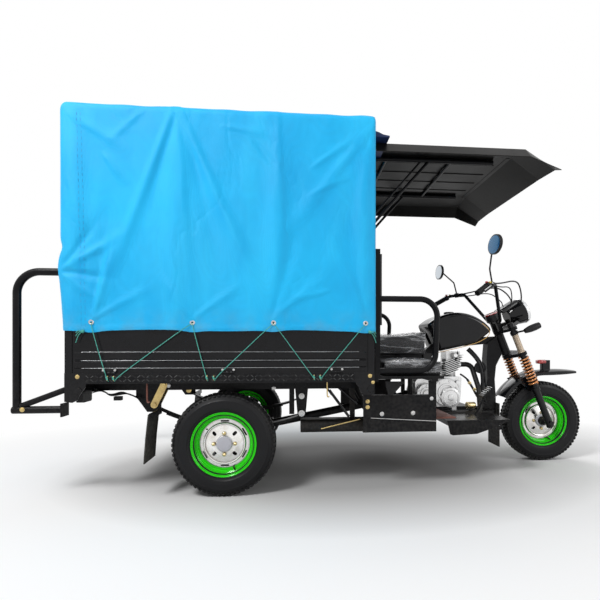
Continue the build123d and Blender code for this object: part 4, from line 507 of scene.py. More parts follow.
class Workshop:
    """Primitives, edit mode and modifiers, each used as by hand. Its pieces stay loose."""

    def keep(self, piece: Piece) -> Piece:
        """Take a finished piece."""
        return piece

    @staticmethod
    def pick(*pieces: Piece) -> None:
        """Select these objects alone.

        Args:
            pieces: the objects, the first one active.
        """
        if bpy.context.object and bpy.context.object.mode != "OBJECT":
            bpy.ops.object.mode_set(mode="OBJECT")
        bpy.ops.object.select_all(action="DESELECT")
        for piece in pieces:
            piece.select_set(True)
        if pieces:
            bpy.context.view_layer.objects.active = pieces[0]

    @staticmethod
    def settle(piece: Piece) -> None:
        """Put the object's place into its mesh."""
        Workshop.pick(piece)
        bpy.ops.object.transform_apply(location=True, rotation=True, scale=True)

    @staticmethod
    def modify(piece: Piece, kind: str, **values: object) -> None:
        """Add a modifier and apply it.

        Args:
            piece: the object.
            kind: the modifier's type.
            values: its settings.
        """
        Workshop.pick(piece)
        modifier = piece.modifiers.new(kind.title(), kind)
        for name, value in values.items():
            setattr(modifier, name, value)
        bpy.ops.object.modifier_apply(modifier=modifier.name)

    @staticmethod
    def soften(piece: Piece, radius: float, segments: int = 2, **values: object) -> None:
        """Round the edges of a piece.

        Args:
            piece: the object.
            radius: radius of its edges.
            segments: segments of each edge.
            values: other settings.
        """
        Workshop.modify(piece, "BEVEL", width=radius, segments=segments, limit_method="ANGLE", **values)

    @staticmethod
    def smooth(piece: Piece, angle: float = 35.0) -> Piece:
        """Shade smooth up to an angle between faces.

        Args:
            piece: the object.
            angle: the angle in degrees.

        Returns:
            The same object.
        """
        Workshop.pick(piece)
        bpy.ops.object.shade_smooth_by_angle(angle=math.radians(angle))
        return piece

    @staticmethod
    def outward(piece: Piece) -> None:
        """Merge doubles and turn the faces outwards.

        Args:
            piece: the object.
        """
        Workshop.pick(piece)
        bpy.ops.object.mode_set(mode="EDIT")
        bpy.ops.mesh.select_all(action="SELECT")
        bpy.ops.mesh.remove_doubles(threshold=0.00005)
        bpy.ops.mesh.normals_make_consistent(inside=False)
        bpy.ops.object.mode_set(mode="OBJECT")

    @staticmethod
    def divide(piece: Piece, cuts: int) -> None:
        """Divide every edge of a piece.

        Args:
            piece: the object.
            cuts: cuts of each edge.
        """
        Workshop.pick(piece)
        bpy.ops.object.mode_set(mode="EDIT")
        bpy.ops.mesh.select_all(action="SELECT")
        bpy.ops.mesh.subdivide(number_cuts=cuts)
        bpy.ops.object.mode_set(mode="OBJECT")

    @staticmethod
    def cube(low: Point, high: Point) -> Piece:
        """A plain box.

        Args:
            low: one corner.
            high: the corner across from it.

        Returns:
            The object.
        """
        Workshop.pick()
        size = tuple(abs(b - a) for a, b in zip(low, high))
        middle = tuple((a + b) / 2 for a, b in zip(low, high))
        bpy.ops.mesh.primitive_cube_add(size=1.0, location=middle, scale=size)
        piece = bpy.context.object
        Workshop.settle(piece)
        return piece

    @staticmethod
    def grid(columns: int, rows: int, place: Callable[[float, float], Point]) -> Piece:
        """A sheet of cells, each corner moved to its place.

        Args:
            columns: cells along its first side.
            rows: cells along its second side.
            place: the place for two shares between -0.5 and 0.5.

        Returns:
            The sheet.
        """
        Workshop.pick()
        bpy.ops.mesh.primitive_grid_add(x_subdivisions=columns, y_subdivisions=rows, size=1.0)
        sheet = bpy.context.object
        for vertex in sheet.data.vertices:
            vertex.co = place(vertex.co.x, vertex.co.y)
        return sheet

    def block(self, low: Point, high: Point, bevel: float = 0.0, segments: int = 2) -> Piece:
        """A block with rounded edges.

        Args:
            low: one corner.
            high: the corner across from it.
            bevel: radius of its edges.
            segments: segments of each rounded edge.

        Returns:
            The object.
        """
        piece = self.cube(low, high)
        if bevel:
            self.soften(piece, bevel, segments)
        return self.keep(self.smooth(piece))

    def turned(self, profile: Sequence[Pair], start: Point, axis: Point, steps: int = 32,
               ring: bool = False) -> Piece:
        """A turned piece: a ring extruded and resized along its axis.

        Args:
            profile: places along the axis and radii.
            start: the point that the places are counted from.
            axis: direction of the axis.
            steps: number of sides.
            ring: whether the profile closes on itself, as in a ring.

        Returns:
            The object.
        """
        self.pick()
        along, radius = profile[0]
        bpy.ops.mesh.primitive_circle_add(vertices=steps, radius=radius, location=(0.0, 0.0, along),
                                          fill_type="NOTHING" if ring else "NGON")
        piece = bpy.context.object
        self.settle(piece)
        bpy.ops.object.mode_set(mode="EDIT")
        bpy.ops.mesh.select_all(action="SELECT")
        extrude = bpy.ops.mesh.extrude_edges_move if ring else bpy.ops.mesh.extrude_region_move
        for next_along, next_radius in profile[1:]:
            extrude(TRANSFORM_OT_translate={"value": (0.0, 0.0, next_along - along)})
            if abs(next_radius - radius) > 1e-7:
                share = next_radius / radius
                bpy.ops.transform.resize(value=(share, share, 1.0), center_override=(0.0, 0.0, next_along))
            along, radius = next_along, next_radius
        if ring:
            bpy.ops.mesh.select_all(action="DESELECT")
            bpy.ops.mesh.select_non_manifold()
            bpy.ops.mesh.bridge_edge_loops()
        bpy.ops.object.mode_set(mode="OBJECT")
        piece.rotation_mode = "QUATERNION"
        piece.rotation_quaternion = Vector(axis).to_track_quat("Z", "Y")
        piece.location = start
        self.settle(piece)
        self.outward(piece)
        return self.keep(self.smooth(piece))

    @staticmethod
    def line(points: Sequence[Point], closed: bool, radius: float = 0.0, sides: int = 3,
             bends: bool = False) -> Piece:
        """A line or round bar through points.

        Args:
            points: its points.
            closed: whether it comes back to its start.
            radius: radius of the bar.
            sides: bevel resolution.
            bends: whether it is smooth between its ends.

        Returns:
            The mesh object.
        """
        Workshop.pick()
        bpy.ops.curve.primitive_nurbs_path_add()
        piece = bpy.context.object
        curve = piece.data
        curve.splines.clear()
        spline = curve.splines.new("NURBS" if bends and len(points) > 2 else "POLY")
        spline.points.add(len(points) - 1)
        for knot, point in zip(spline.points, points):
            knot.co = (*point, 1.0)
        spline.use_cyclic_u = closed
        if spline.type == "NURBS":
            spline.order_u = 3
            spline.use_endpoint_u = True
            spline.resolution_u = 5
        curve.dimensions = "3D"
        if radius:
            curve.bevel_depth = radius
            curve.bevel_resolution = sides
            curve.use_fill_caps = True
        Workshop.pick(piece)
        bpy.ops.object.convert(target="MESH")
        Workshop.settle(piece)
        return piece

    def pipe(self, points: Sequence[Point], radius: float, sides: int = 3, bends: bool = True) -> Piece:
        """A round bar, wire or rope along a line.

        Args:
            points: points of its line.
            radius: its radius.
            sides: bevel resolution.
            bends: whether the line is smooth between its ends.

        Returns:
            The object.
        """
        piece = self.line(points, False, radius, sides, bends)
        self.outward(piece)
        return self.keep(self.smooth(piece, 60.0))

    def plate(self, outline: Sequence[Point], push: Point, bevel: float = 0.0) -> Piece:
        """A flat plate from its outline.

        Args:
            outline: corner points of its face, in one plane.
            push: the way and depth of its thickness.
            bevel: radius of its edges.

        Returns:
            The object.
        """
        piece = self.line(outline, True)
        bpy.ops.object.mode_set(mode="EDIT")
        bpy.ops.mesh.select_all(action="SELECT")
        bpy.ops.mesh.edge_face_add()
        bpy.ops.mesh.extrude_region_move(TRANSFORM_OT_translate={"value": tuple(push)})
        bpy.ops.object.mode_set(mode="OBJECT")
        self.outward(piece)
        if bevel:
            self.soften(piece, bevel)
        return self.keep(self.smooth(piece))

    def bolt(self, place: Point, axis: Point, radius: float, height: float) -> None:
        """A bolt head on a washer.

        Args:
            place: middle of the washer's foot.
            axis: the way the head points.
            radius: radius of the head.
            height: height of the head.
        """
        self.turned(((0.0, radius * 1.5), (0.0012, radius * 1.5), (0.0018, radius * 1.35)), place, axis, 16)
        self.turned(((0.0016, radius), (height * 0.8, radius), (height, radius * 0.82)), place, axis, 6)

    @staticmethod
    def copy(piece: Piece, move: Matrix) -> Piece:
        """A copy with its own mesh, moved.

        Args:
            piece: what is copied.
            move: where the copy goes.

        Returns:
            The copy.
        """
        Workshop.pick(piece)
        bpy.ops.object.duplicate(linked=False)
        bpy.context.object.data.transform(move)
        return bpy.context.object

    @staticmethod
    def join(pieces: Sequence[Piece]) -> Piece:
        """Join objects into one.

        Args:
            pieces: the objects.

        Returns:
            The whole.
        """
        Workshop.pick(*pieces)
        if len(pieces) > 1:
            bpy.ops.object.join()
        return bpy.context.object

    @staticmethod
    def dress(piece: Piece, name: str, finish: Finish, body: Body = Body.CHASSIS, stands_for: str = "",
              slot: str = "") -> Piece:
        """Give a finished piece its name, its finish and its body.

        Args:
            piece: the object.
            name: its name.
            finish: its finish.
            body: the body it rides on.
            stands_for: the node that it replaces.
            slot: name of the material slot where it isn't the finish's own; not used.

        Returns:
            The same object.
        """
        piece.name = name
        piece.data.materials.clear()
        piece.data.materials.append(finish.material())
        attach(piece, body.value)
        slot or finish.slot
        if stands_for:
            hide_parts(stands_for)
        log.info("%s: %d faces", piece.name, len(piece.data.polygons))
        return piece


LOOSE = Workshop()


class Kit(Workshop):
    """Pieces of one finish on one body, joined into one at the end."""

    def __init__(self, name: str, finish: Finish, body: Body = Body.CHASSIS) -> None:
        """Start an empty kit.

        Args:
            name: name of the joined piece.
            finish: its finish.
            body: the body it rides on.
        """
        self.name = name
        self.finish = finish
        self.body = body
        self.pieces: list[Piece] = []

    def keep(self, piece: Piece) -> Piece:
        self.pieces.append(piece)
        return piece

    def close(self, stands_for: str = "") -> Piece:
        return self.dress(self.join(self.pieces), self.name, self.finish, self.body, stands_for)


def close_all(*kits: Kit) -> None:
    """Join and dress several kits."""
    for kit in kits:
        kit.close()


SHEET_ANGLE = 70.0


def side_name(hand: int) -> str:
    """The name of a side, from its sign of y."""
    return "left" if hand > 0 else "right"


# canopy


@dataclass(frozen=True)
class Fold:
    """One crease of the canvas on a side wall, from its sharp end to its soft end.

    Attributes:
        x0: X of its sharp end.
        z0: height of its sharp end.
        x1: X of its soft end.
        z1: height of its soft end.
        depth: how far it stands out, negative for a hollow.
        width: half its width at the soft end.
    """

    x0: float
    z0: float
    x1: float
    z1: float
    depth: float
    width: float

    def push(self, x: float, z: float) -> float:
        """How far this crease moves a point.

        Args:
            x: place along the vehicle.
            z: height.

        Returns:
            The push in metres.
        """
        dx, dz = self.x1 - self.x0, self.z1 - self.z0
        length = math.hypot(dx, dz)
        along = ((x - self.x0) * dx + (z - self.z0) * dz) / (length * length)
        if not -0.1 < along < 1.25:
            return 0.0
        off = ((x - self.x0) * dz - (z - self.z0) * dx) / length
        width = self.width * (0.3 + 0.9 * max(0.0, along)) + 0.004
        fade = min(1.0, (along + 0.1) / 0.25) * min(1.0, (1.25 - along) / 0.6)
        near = abs(off) / width
        shape = math.exp(-near * near) if near > 0.35 else 1.0 - near * near - 0.35 * (0.35 - near) * near
        return self.depth * fade * max(0.0, shape)


# sharp end X, Z, soft end X, Z, depth, half width
FOLDS = tuple(Fold(*row) for row in (
    (-0.88, 2.01, -1.285, 0.92, 0.010, 0.030), (-0.88, 1.99, -0.80, 0.93, 0.006, 0.024),
    (-0.88, 2.01, -0.40, 0.93, 0.013, 0.034), (-0.88, 1.97, -1.04, 1.41, -0.008, 0.040),
    (-0.81, 1.83, -0.65, 1.15, -0.009, 0.046), (0.13, 1.95, -0.28, 1.43, 0.008, 0.030),
    (0.13, 1.93, 0.05, 1.44, 0.005, 0.022), (0.09, 0.94, -0.10, 1.37, 0.008, 0.024),
    (0.09, 0.94, 0.02, 1.27, -0.005, 0.018), (-0.40, 0.93, -0.14, 1.14, 0.006, 0.020),
    (-0.40, 0.93, -0.28, 1.36, -0.007, 0.030), (-1.285, 0.93, -1.17, 1.35, 0.012, 0.022),
    (-1.285, 0.93, -1.21, 1.52, -0.008, 0.030), (-1.42, 1.17, -1.18, 1.33, 0.010, 0.016),
    (-1.42, 1.16, -1.21, 1.13, -0.009, 0.016), (-1.42, 1.18, -1.27, 1.41, -0.008, 0.016),
    (-1.42, 1.14, -1.26, 1.02, 0.008, 0.014), (-0.80, 0.93, -0.94, 1.12, 0.006, 0.016),
    (-0.80, 0.93, -0.56, 1.10, 0.005, 0.018), (-1.285, 0.93, -1.03, 1.07, 0.006, 0.018),
    (-0.37, 1.95, -0.35, 1.20, 0.005, 0.022), (-1.23, 1.75, -1.14, 1.62, 0.008, 0.014),
    (-1.40, 1.94, -1.14, 1.79, 0.006, 0.020), (-0.19, 1.72, 0.02, 1.87, 0.007, 0.015),
    (-0.21, 1.57, -0.00, 1.68, 0.005, 0.013), (-0.65, 1.91, -0.42, 1.88, 0.005, 0.014),
    (-0.49, 1.84, -0.33, 1.66, -0.006, 0.018), (-1.40, 1.63, -1.32, 1.34, 0.006, 0.013),
    (-1.05, 1.96, -1.21, 1.81, 0.005, 0.016), (-0.10, 1.08, -0.28, 1.03, 0.005, 0.013),
))


@dataclass
class CanvasCover:
    """The canvas over both sides and the roof of the load bed, lapped round the rear hoop.

    Attributes:
        rear: X of the rear face.
        front: X of the front face.
        side: half the width.
        eaves: height of the roof's edges.
        crown: how much the roof rises to its middle.
        hem: height of the hem.
        corner: radius along the roof's long edges.
        rear_round: radius of the upright rear edges.
        front_round: radius of the upright front edges.
        lap: width of the strip round the back.
        cell: size of one mesh cell.
        skew: how far the left wall's folds lean off the right wall's.
        eyelets: X of each eyelet in the hem.
        bows: X of each hoop below.
    """

    rear: float = -1.449
    front: float = 0.1445
    side: float = 0.629
    eaves: float = 2.009
    crown: float = 0.020
    hem: float = 0.868
    corner: float = 0.040
    rear_round: float = 0.036
    front_round: float = 0.016
    lap: float = 0.112
    cell: float = 0.0100
    skew: float = 0.013
    eyelets: tuple[float, ...] = (-1.290, -0.800, -0.391, 0.088)
    bows: tuple[float, ...] = (-1.375, -0.883, -0.377, 0.083)

    def stations(self) -> list[Point]:
        """Places along the cover, from the lap round the rear edge to the front fold.

        Returns:
            X, inset and the share of the fold pattern at each place.
        """
        rear, front, turns, bends = self.rear_round, self.front_round, 6, 4
        steps = int(self.lap / self.cell)
        places = [(self.rear + 0.002, self.lap * (1 - step / steps) + rear * (step / steps), 0.0)
                  for step in range(steps)]
        for turn in range(turns):
            angle = math.pi / 2 * turn / turns
            places.append((self.rear + rear * (1 - math.cos(angle)), rear * (1 - math.sin(angle)),
                           turn / turns))
        start, end = self.rear + rear, self.front - front
        steps = int((end - start) / self.cell)
        places += [(start + (end - start) * step / steps, 0.0, 1.0) for step in range(steps)]
        for turn in range(bends + 1):
            angle = math.pi / 2 * turn / bends
            places.append((end + front * math.sin(angle), front * (1 - math.cos(angle)),
                           1.0 - 0.6 * turn / bends))
        return places + [(self.front, front + step * self.cell, 0.4 - 0.1 * step) for step in range(1, 5)]

    def section(self, inset: float, share: float) -> tuple[float, float, float, float]:
        """A place on the section from the right hem over the roof to the left hem.

        Args:
            inset: how far the section lies inside the outer one.
            share: share of the way round.

        Returns:
            y, z and the outward direction.
        """
        side, corner = self.side - inset, max(0.012, self.corner - inset * 0.4)
        eaves = self.eaves - min(inset, 0.034) * 0.8
        wall, arc, roof = eaves - corner - self.hem, corner * math.pi / 2, 2 * (side - corner)
        hand = -1.0 if share <= 0.5 else 1.0
        run = (share if share <= 0.5 else 1.0 - share) * (2 * wall + 2 * arc + roof)
        if run <= wall:
            return hand * side, self.hem + run, hand, 0.0
        run -= wall
        if run <= arc:
            turn = run / corner
            return (hand * (side - corner * (1 - math.cos(turn))), eaves - corner + corner * math.sin(turn),
                    hand * math.cos(turn), math.sin(turn))
        y = side - corner - (run - arc)
        return hand * y, eaves + self.crown * (1.0 - (y / (side - corner)) ** 2), 0.0, 1.0

    def wall_push(self, x: float, z: float, hand: float) -> float:
        """How far a point of a side wall stands out of the plain section.

        Args:
            x: place along the vehicle.
            z: height.
            hand: the side, as the sign of y.

        Returns:
            The push in metres.
        """
        near = min(abs(x - bow) for bow in self.bows)
        ridge = math.exp(-(near / 0.05) ** 2)
        high = max(0.0, min(1.0, (z - self.hem) / (self.eaves - self.hem)))
        slack = -0.012 * (1.0 - ridge) * math.sin(math.pi * min(1.0, 0.12 + 0.88 * high))
        shift = 0.0 if hand < 0 else self.skew
        crease = sum(fold.push(x + shift * math.sin(3.1 * z), z) for fold in FOLDS)
        pull = sum(math.exp(-((x - eye) / 0.045) ** 2) for eye in self.eyelets)
        tuck = -0.006 * pull * max(0.0, 1.0 - (z - self.hem) / 0.14)
        rumple = 0.0016 * math.sin(31.0 * x + 9.0 * z) * math.sin(17.0 * z - 6.0 * x + hand)
        return min(0.004, slack + crease + tuck + rumple + 0.002 * ridge)

    def roof_push(self, x: float, y: float) -> float:
        """How far a point of the roof stands off the plain section.

        Args:
            x: place along the vehicle.
            y: place across it.

        Returns:
            The push in metres.
        """
        near = min(abs(x - bow) for bow in self.bows)
        ridge = math.exp(-(near / 0.06) ** 2)
        sag = -0.016 * (1.0 - ridge) * math.cos(y / self.side * math.pi / 2) ** 0.5
        rumple = 0.002 * math.sin(23.0 * x + 5.0 * y) * math.sin(11.0 * y + 3.0 * x)
        return sag + rumple * (1.0 - ridge)

    def surface_y(self, x: float, z: float) -> float:
        """Distance from the middle plane to the right wall's face."""
        return self.side + self.wall_push(x, z, -1.0)

    def point(self, station: Point, share: float) -> Point:
        """Where a corner of the mesh lies.

        Args:
            station: X, inset and share of the fold pattern.
            share: share of the way round the section.

        Returns:
            The place.
        """
        x, inset, pattern = station
        y, z, out_y, out_z = self.section(inset, min(1.0, max(0.0, share)))
        low = max(0.0, 1.0 - (z - self.hem) / 0.25)
        lean = 0.0
        if abs(out_y) > 0.5:
            roll = max(0.0, 1.0 - abs(z - self.hem - 0.013) / 0.013)
            push = pattern * self.wall_push(x, z, 1.0 if y > 0 else -1.0) + 0.0018 * min(1.0, roll * 2.5)
            lean = (-0.012 * math.exp(-((z - 1.18) / 0.07) ** 2) + 0.010 * math.exp(-((z - 1.28) / 0.03) ** 2)
                    + 0.016 * max(0.0, (1.08 - z) / 0.22))
        else:
            push = self.roof_push(x, y)
        near = min(abs(x - eye) for eye in self.eyelets)
        scallop = low * (0.012 * math.exp(-(near / 0.05) ** 2) + 0.005 * math.sin(9.0 * x + 1.0))
        fade = max(0.0, 1.0 - (x - self.rear) / 0.20) ** 2
        return x + fade * lean, y + out_y * push, z + out_z * push - 0.7 * scallop

    def build(self) -> None:
        """Make the cover with its hem, creases and lap, and the panel that closes the front."""
        places = self.stations()
        last = len(places) - 1
        around = int((2 * (self.eaves - self.hem) + 2 * self.side) / self.cell)
        cover = Workshop.grid(last, around, lambda u, v: self.point(places[round((u + 0.5) * last)], v + 0.5))
        steps = [(math.hypot(b[0] - a[0], b[1] - a[1]), a[1]) for a, b in zip(places, places[1:])]
        Workshop.outward(cover)
        Workshop.modify(cover, "SOLIDIFY", thickness=0.0022, offset=-1.0)
        Workshop.smooth(cover, SHEET_ANGLE)
        Workshop.dress(cover, "canvas_cover", Paint.CANVAS, stands_for="canopy_cover")
        self.front_wall()

    def front_wall(self) -> None:
        """Make the sewn panel that closes the front, slack between its edges."""
        half, top = self.side - self.front_round - 0.006, self.eaves + 0.004

        def place(u: float, v: float) -> Point:
            """The place of one corner of the mesh.

            Args:
                u: share across, from -0.5 to 0.5.
                v: share upwards, from -0.5 to 0.5.

            Returns:
                The place.
            """
            y, share = u * 2 * half, v + 0.5
            crown = self.crown * (1.0 - (y / half) ** 2)
            z = self.hem + share * (top + crown - 0.012 - self.hem)
            bay = math.sin(math.pi * share) * (1.0 - (y / half) ** 2)
            crease = 0.004 * math.sin(6.0 * y + 3.0 * z) * bay
            crease += 0.003 * math.sin(21.0 * y) * (1.0 - share) * bay
            return self.front - 0.004 - 0.010 * bay + crease, y, z

        panel = hang("canvas_front", Workshop.grid(96, 90, place))


def hang(name: str, sheet: Piece, stands_for: str = "") -> Piece:
    """Give a thin sheet of canvas its thickness and dress it.

    Args:
        name: its name.
        sheet: the sheet.
        stands_for: the node that it replaces.

    Returns:
        The sheet.
    """
    Workshop.modify(sheet, "SOLIDIFY", thickness=0.002, offset=0.0)
    Workshop.outward(sheet)
    Workshop.smooth(sheet, SHEET_ANGLE)
    return Workshop.dress(sheet, name, Paint.CANVAS, stands_for=stands_for)


@dataclass
class RearCurtain:
    """The canvas curtain inside the rear hoop, hanging in soft pleats.

    Attributes:
        x: its mean place.
        half: half its width.
        top: its upper edge.
        hem: its lower edge.
    """

    x: float = -1.394
    half: float = 0.518
    top: float = 1.978
    hem: float = 0.872

    def place(self, u: float, v: float) -> Point:
        """The place of one corner of the mesh.

        Args:
            u: share across, from -0.5 to 0.5.
            v: share upwards, from -0.5 to 0.5.

        Returns:
            The place.
        """
        y, share = u * 2 * self.half, v + 0.5
        z = self.hem + share * (self.top - self.hem)
        fall = (1.0 - share) ** 0.7
        edge = 1.0 - (abs(y) / self.half) ** 6
        pleat = 0.0035 * math.sin(44.0 * y + 1.6 * math.sin(2.2 * z)) + 0.002 * math.sin(93.0 * y + z)
        return self.x + edge * fall * pleat, y, z + 0.003 * math.sin(7.0 * y) * (1 - share)

    def build(self) -> None:
        """Make the curtain."""
        curtain = hang("rear_canvas_curtain", Workshop.grid(170, 90, self.place), "rear_curtain")


@dataclass
class Lashing:
    """Eyelets in the hem and the thin ropes laced from them to hooks under the deck.

    Attributes:
        cover: the canvas that they hold.
        eye_z: height of the eyelets.
        hem_z: height at which the ropes pass the hem.
        hook_z: height of the hooks.
        hook_y: distance of the hooks from the middle.
        rope_y: distance of the ropes' feet from the middle.
        rope: radius of the rope.
        hooks: X of each hook below the deck.
        lacing: pairs of eyelet number and hook number.
    """

    cover: CanvasCover
    eye_z: float = 0.908
    hem_z: float = 0.862
    hook_z: float = 0.620
    hook_y: float = 0.622
    rope_y: float = 0.628
    rope: float = 0.0019
    hooks: tuple[float, ...] = (-1.213, -1.183, -0.727, -0.693, -0.182, -0.150)
    lacing: tuple[tuple[int, int], ...] = ((0, 0), (1, 1), (1, 2), (2, 3), (2, 4), (3, 5))

    def build(self) -> None:
        """Make the eyelets with black discs of painted shade in their holes, and the ropes, knots and hooks
        on both sides.
        """
        rings, ropes = Kit("hem_eyelets", Paint.STEEL), Kit("lashing_ropes", Paint.ROPE)
        hooks, hole_shades = Kit("rope_hooks", Paint.PLATED), Kit("eyelet_hole_painted_shades", Paint.PLASTIC)
        eyelets, hook_z = self.cover.eyelets, self.hook_z
        for hand in SIDES:
            out = (0.0, hand, 0.0)
            for x in eyelets:
                place = (x, hand * (self.cover.surface_y(x, self.eye_z) + 0.0005), self.eye_z)
                rings.turned(((0.0, 0.0055), (0.0, 0.0125), (0.0012, 0.0132), (0.0028, 0.0115),
                              (0.0030, 0.008), (0.0018, 0.0055)), place, out, 24, True)
                # Painted shade: a black disc in each eyelet's hole stands in for the shaded inside of the
                # canopy.
                hole_shades.turned(((0.0002, 0.0070), (0.0008, 0.0070), (0.0010, 0.0060)), place, out, 20)
            for x in self.hooks:
                hooks.pipe([(x, hand * (self.hook_y + y), hook_z + z) for y, z in (
                    (-0.012, 0.022), (0.004, 0.020), (0.006, 0.002), (0.0, -0.006), (-0.006, 0.004))], 0.0028)
            for eye, hook in self.lacing:
                self.lace(ropes, hand, eyelets[eye], self.hooks[hook])
            self.tail(ropes, hand, eyelets[0] - 0.035, -1.0)
            self.tail(ropes, hand, eyelets[3] + 0.020, 1.0)
        close_all(rings, hooks, ropes, hole_shades)

    def lace(self, kit: Kit, hand: int, eye_x: float, hook_x: float) -> None:
        """Make one rope from an eyelet to a hook with its knot.

        Args:
            kit: where the rope goes.
            hand: the side, as the sign of y.
            eye_x: X of the eyelet.
            hook_x: X of the hook.
        """
        y_eye = hand * (self.cover.surface_y(eye_x, self.eye_z) + 0.004)
        lean = (hook_x - eye_x) / (self.hook_z - self.eye_z)
        hem_x = eye_x + lean * (self.hem_z - self.eye_z)
        kit.pipe(((eye_x, y_eye - hand * 0.008, self.eye_z), (eye_x, y_eye, self.eye_z - 0.004),
                  (hem_x, hand * (self.cover.side + 0.008), self.hem_z),
                  ((hem_x + hook_x) / 2, hand * (self.rope_y + 0.006), (self.hem_z + self.hook_z) / 2),
                  (hook_x, hand * self.rope_y, self.hook_z),
                  (hook_x + 0.004, hand * self.hook_y, self.hook_z - 0.008)), self.rope, 2)
        for turn in range(2):
            kit.turned(((-0.004, 0.003), (-0.002, 0.0052), (0.002, 0.0052), (0.004, 0.003)),
                       (hook_x - 0.002 * turn, hand * self.rope_y, self.hook_z + 0.004 + 0.008 * turn),
                       (0.4, 0.0, 1.0), 10)

    def tail(self, kit: Kit, hand: int, x: float, way: float) -> None:
        """Make a knot with loose rope ends at a corner of the hem.

        Args:
            kit: where the rope goes.
            hand: the side, as the sign of y.
            x: place along the vehicle.
            way: the way the loose ends point.
        """
        y = hand * (self.cover.side + 0.006)
        kit.turned(((-0.007, 0.004), (-0.004, 0.0085), (0.004, 0.0085), (0.007, 0.004)), (x, y, self.hem_z),
                   (way, 0.0, 0.5), 12)
        for spread in (-1.0, 0.4, 1.2):
            kit.pipe(((x, y, self.hem_z), (x + way * 0.014, y + hand * 0.002, 0.858 + 0.006 * spread),
                      (x + way * 0.026, y, 0.846 + 0.016 * spread),
                      (x + way * 0.034, y - hand * 0.002, 0.828 + 0.022 * spread)), self.rope * 0.85, 2)


# seats


@dataclass(frozen=True)
class PadShape:
    """The size of one padded piece.

    Attributes:
        name: name of the piece.
        low: its lowest corner.
        high: its highest corner.
        crown: how far its top swells.
        pinch: how far its sides pull in.
        lift: extra height towards the front.
    """

    name: str
    low: Point
    high: Point
    crown: float = 0.012
    pinch: float = 0.006
    lift: float = 0.0


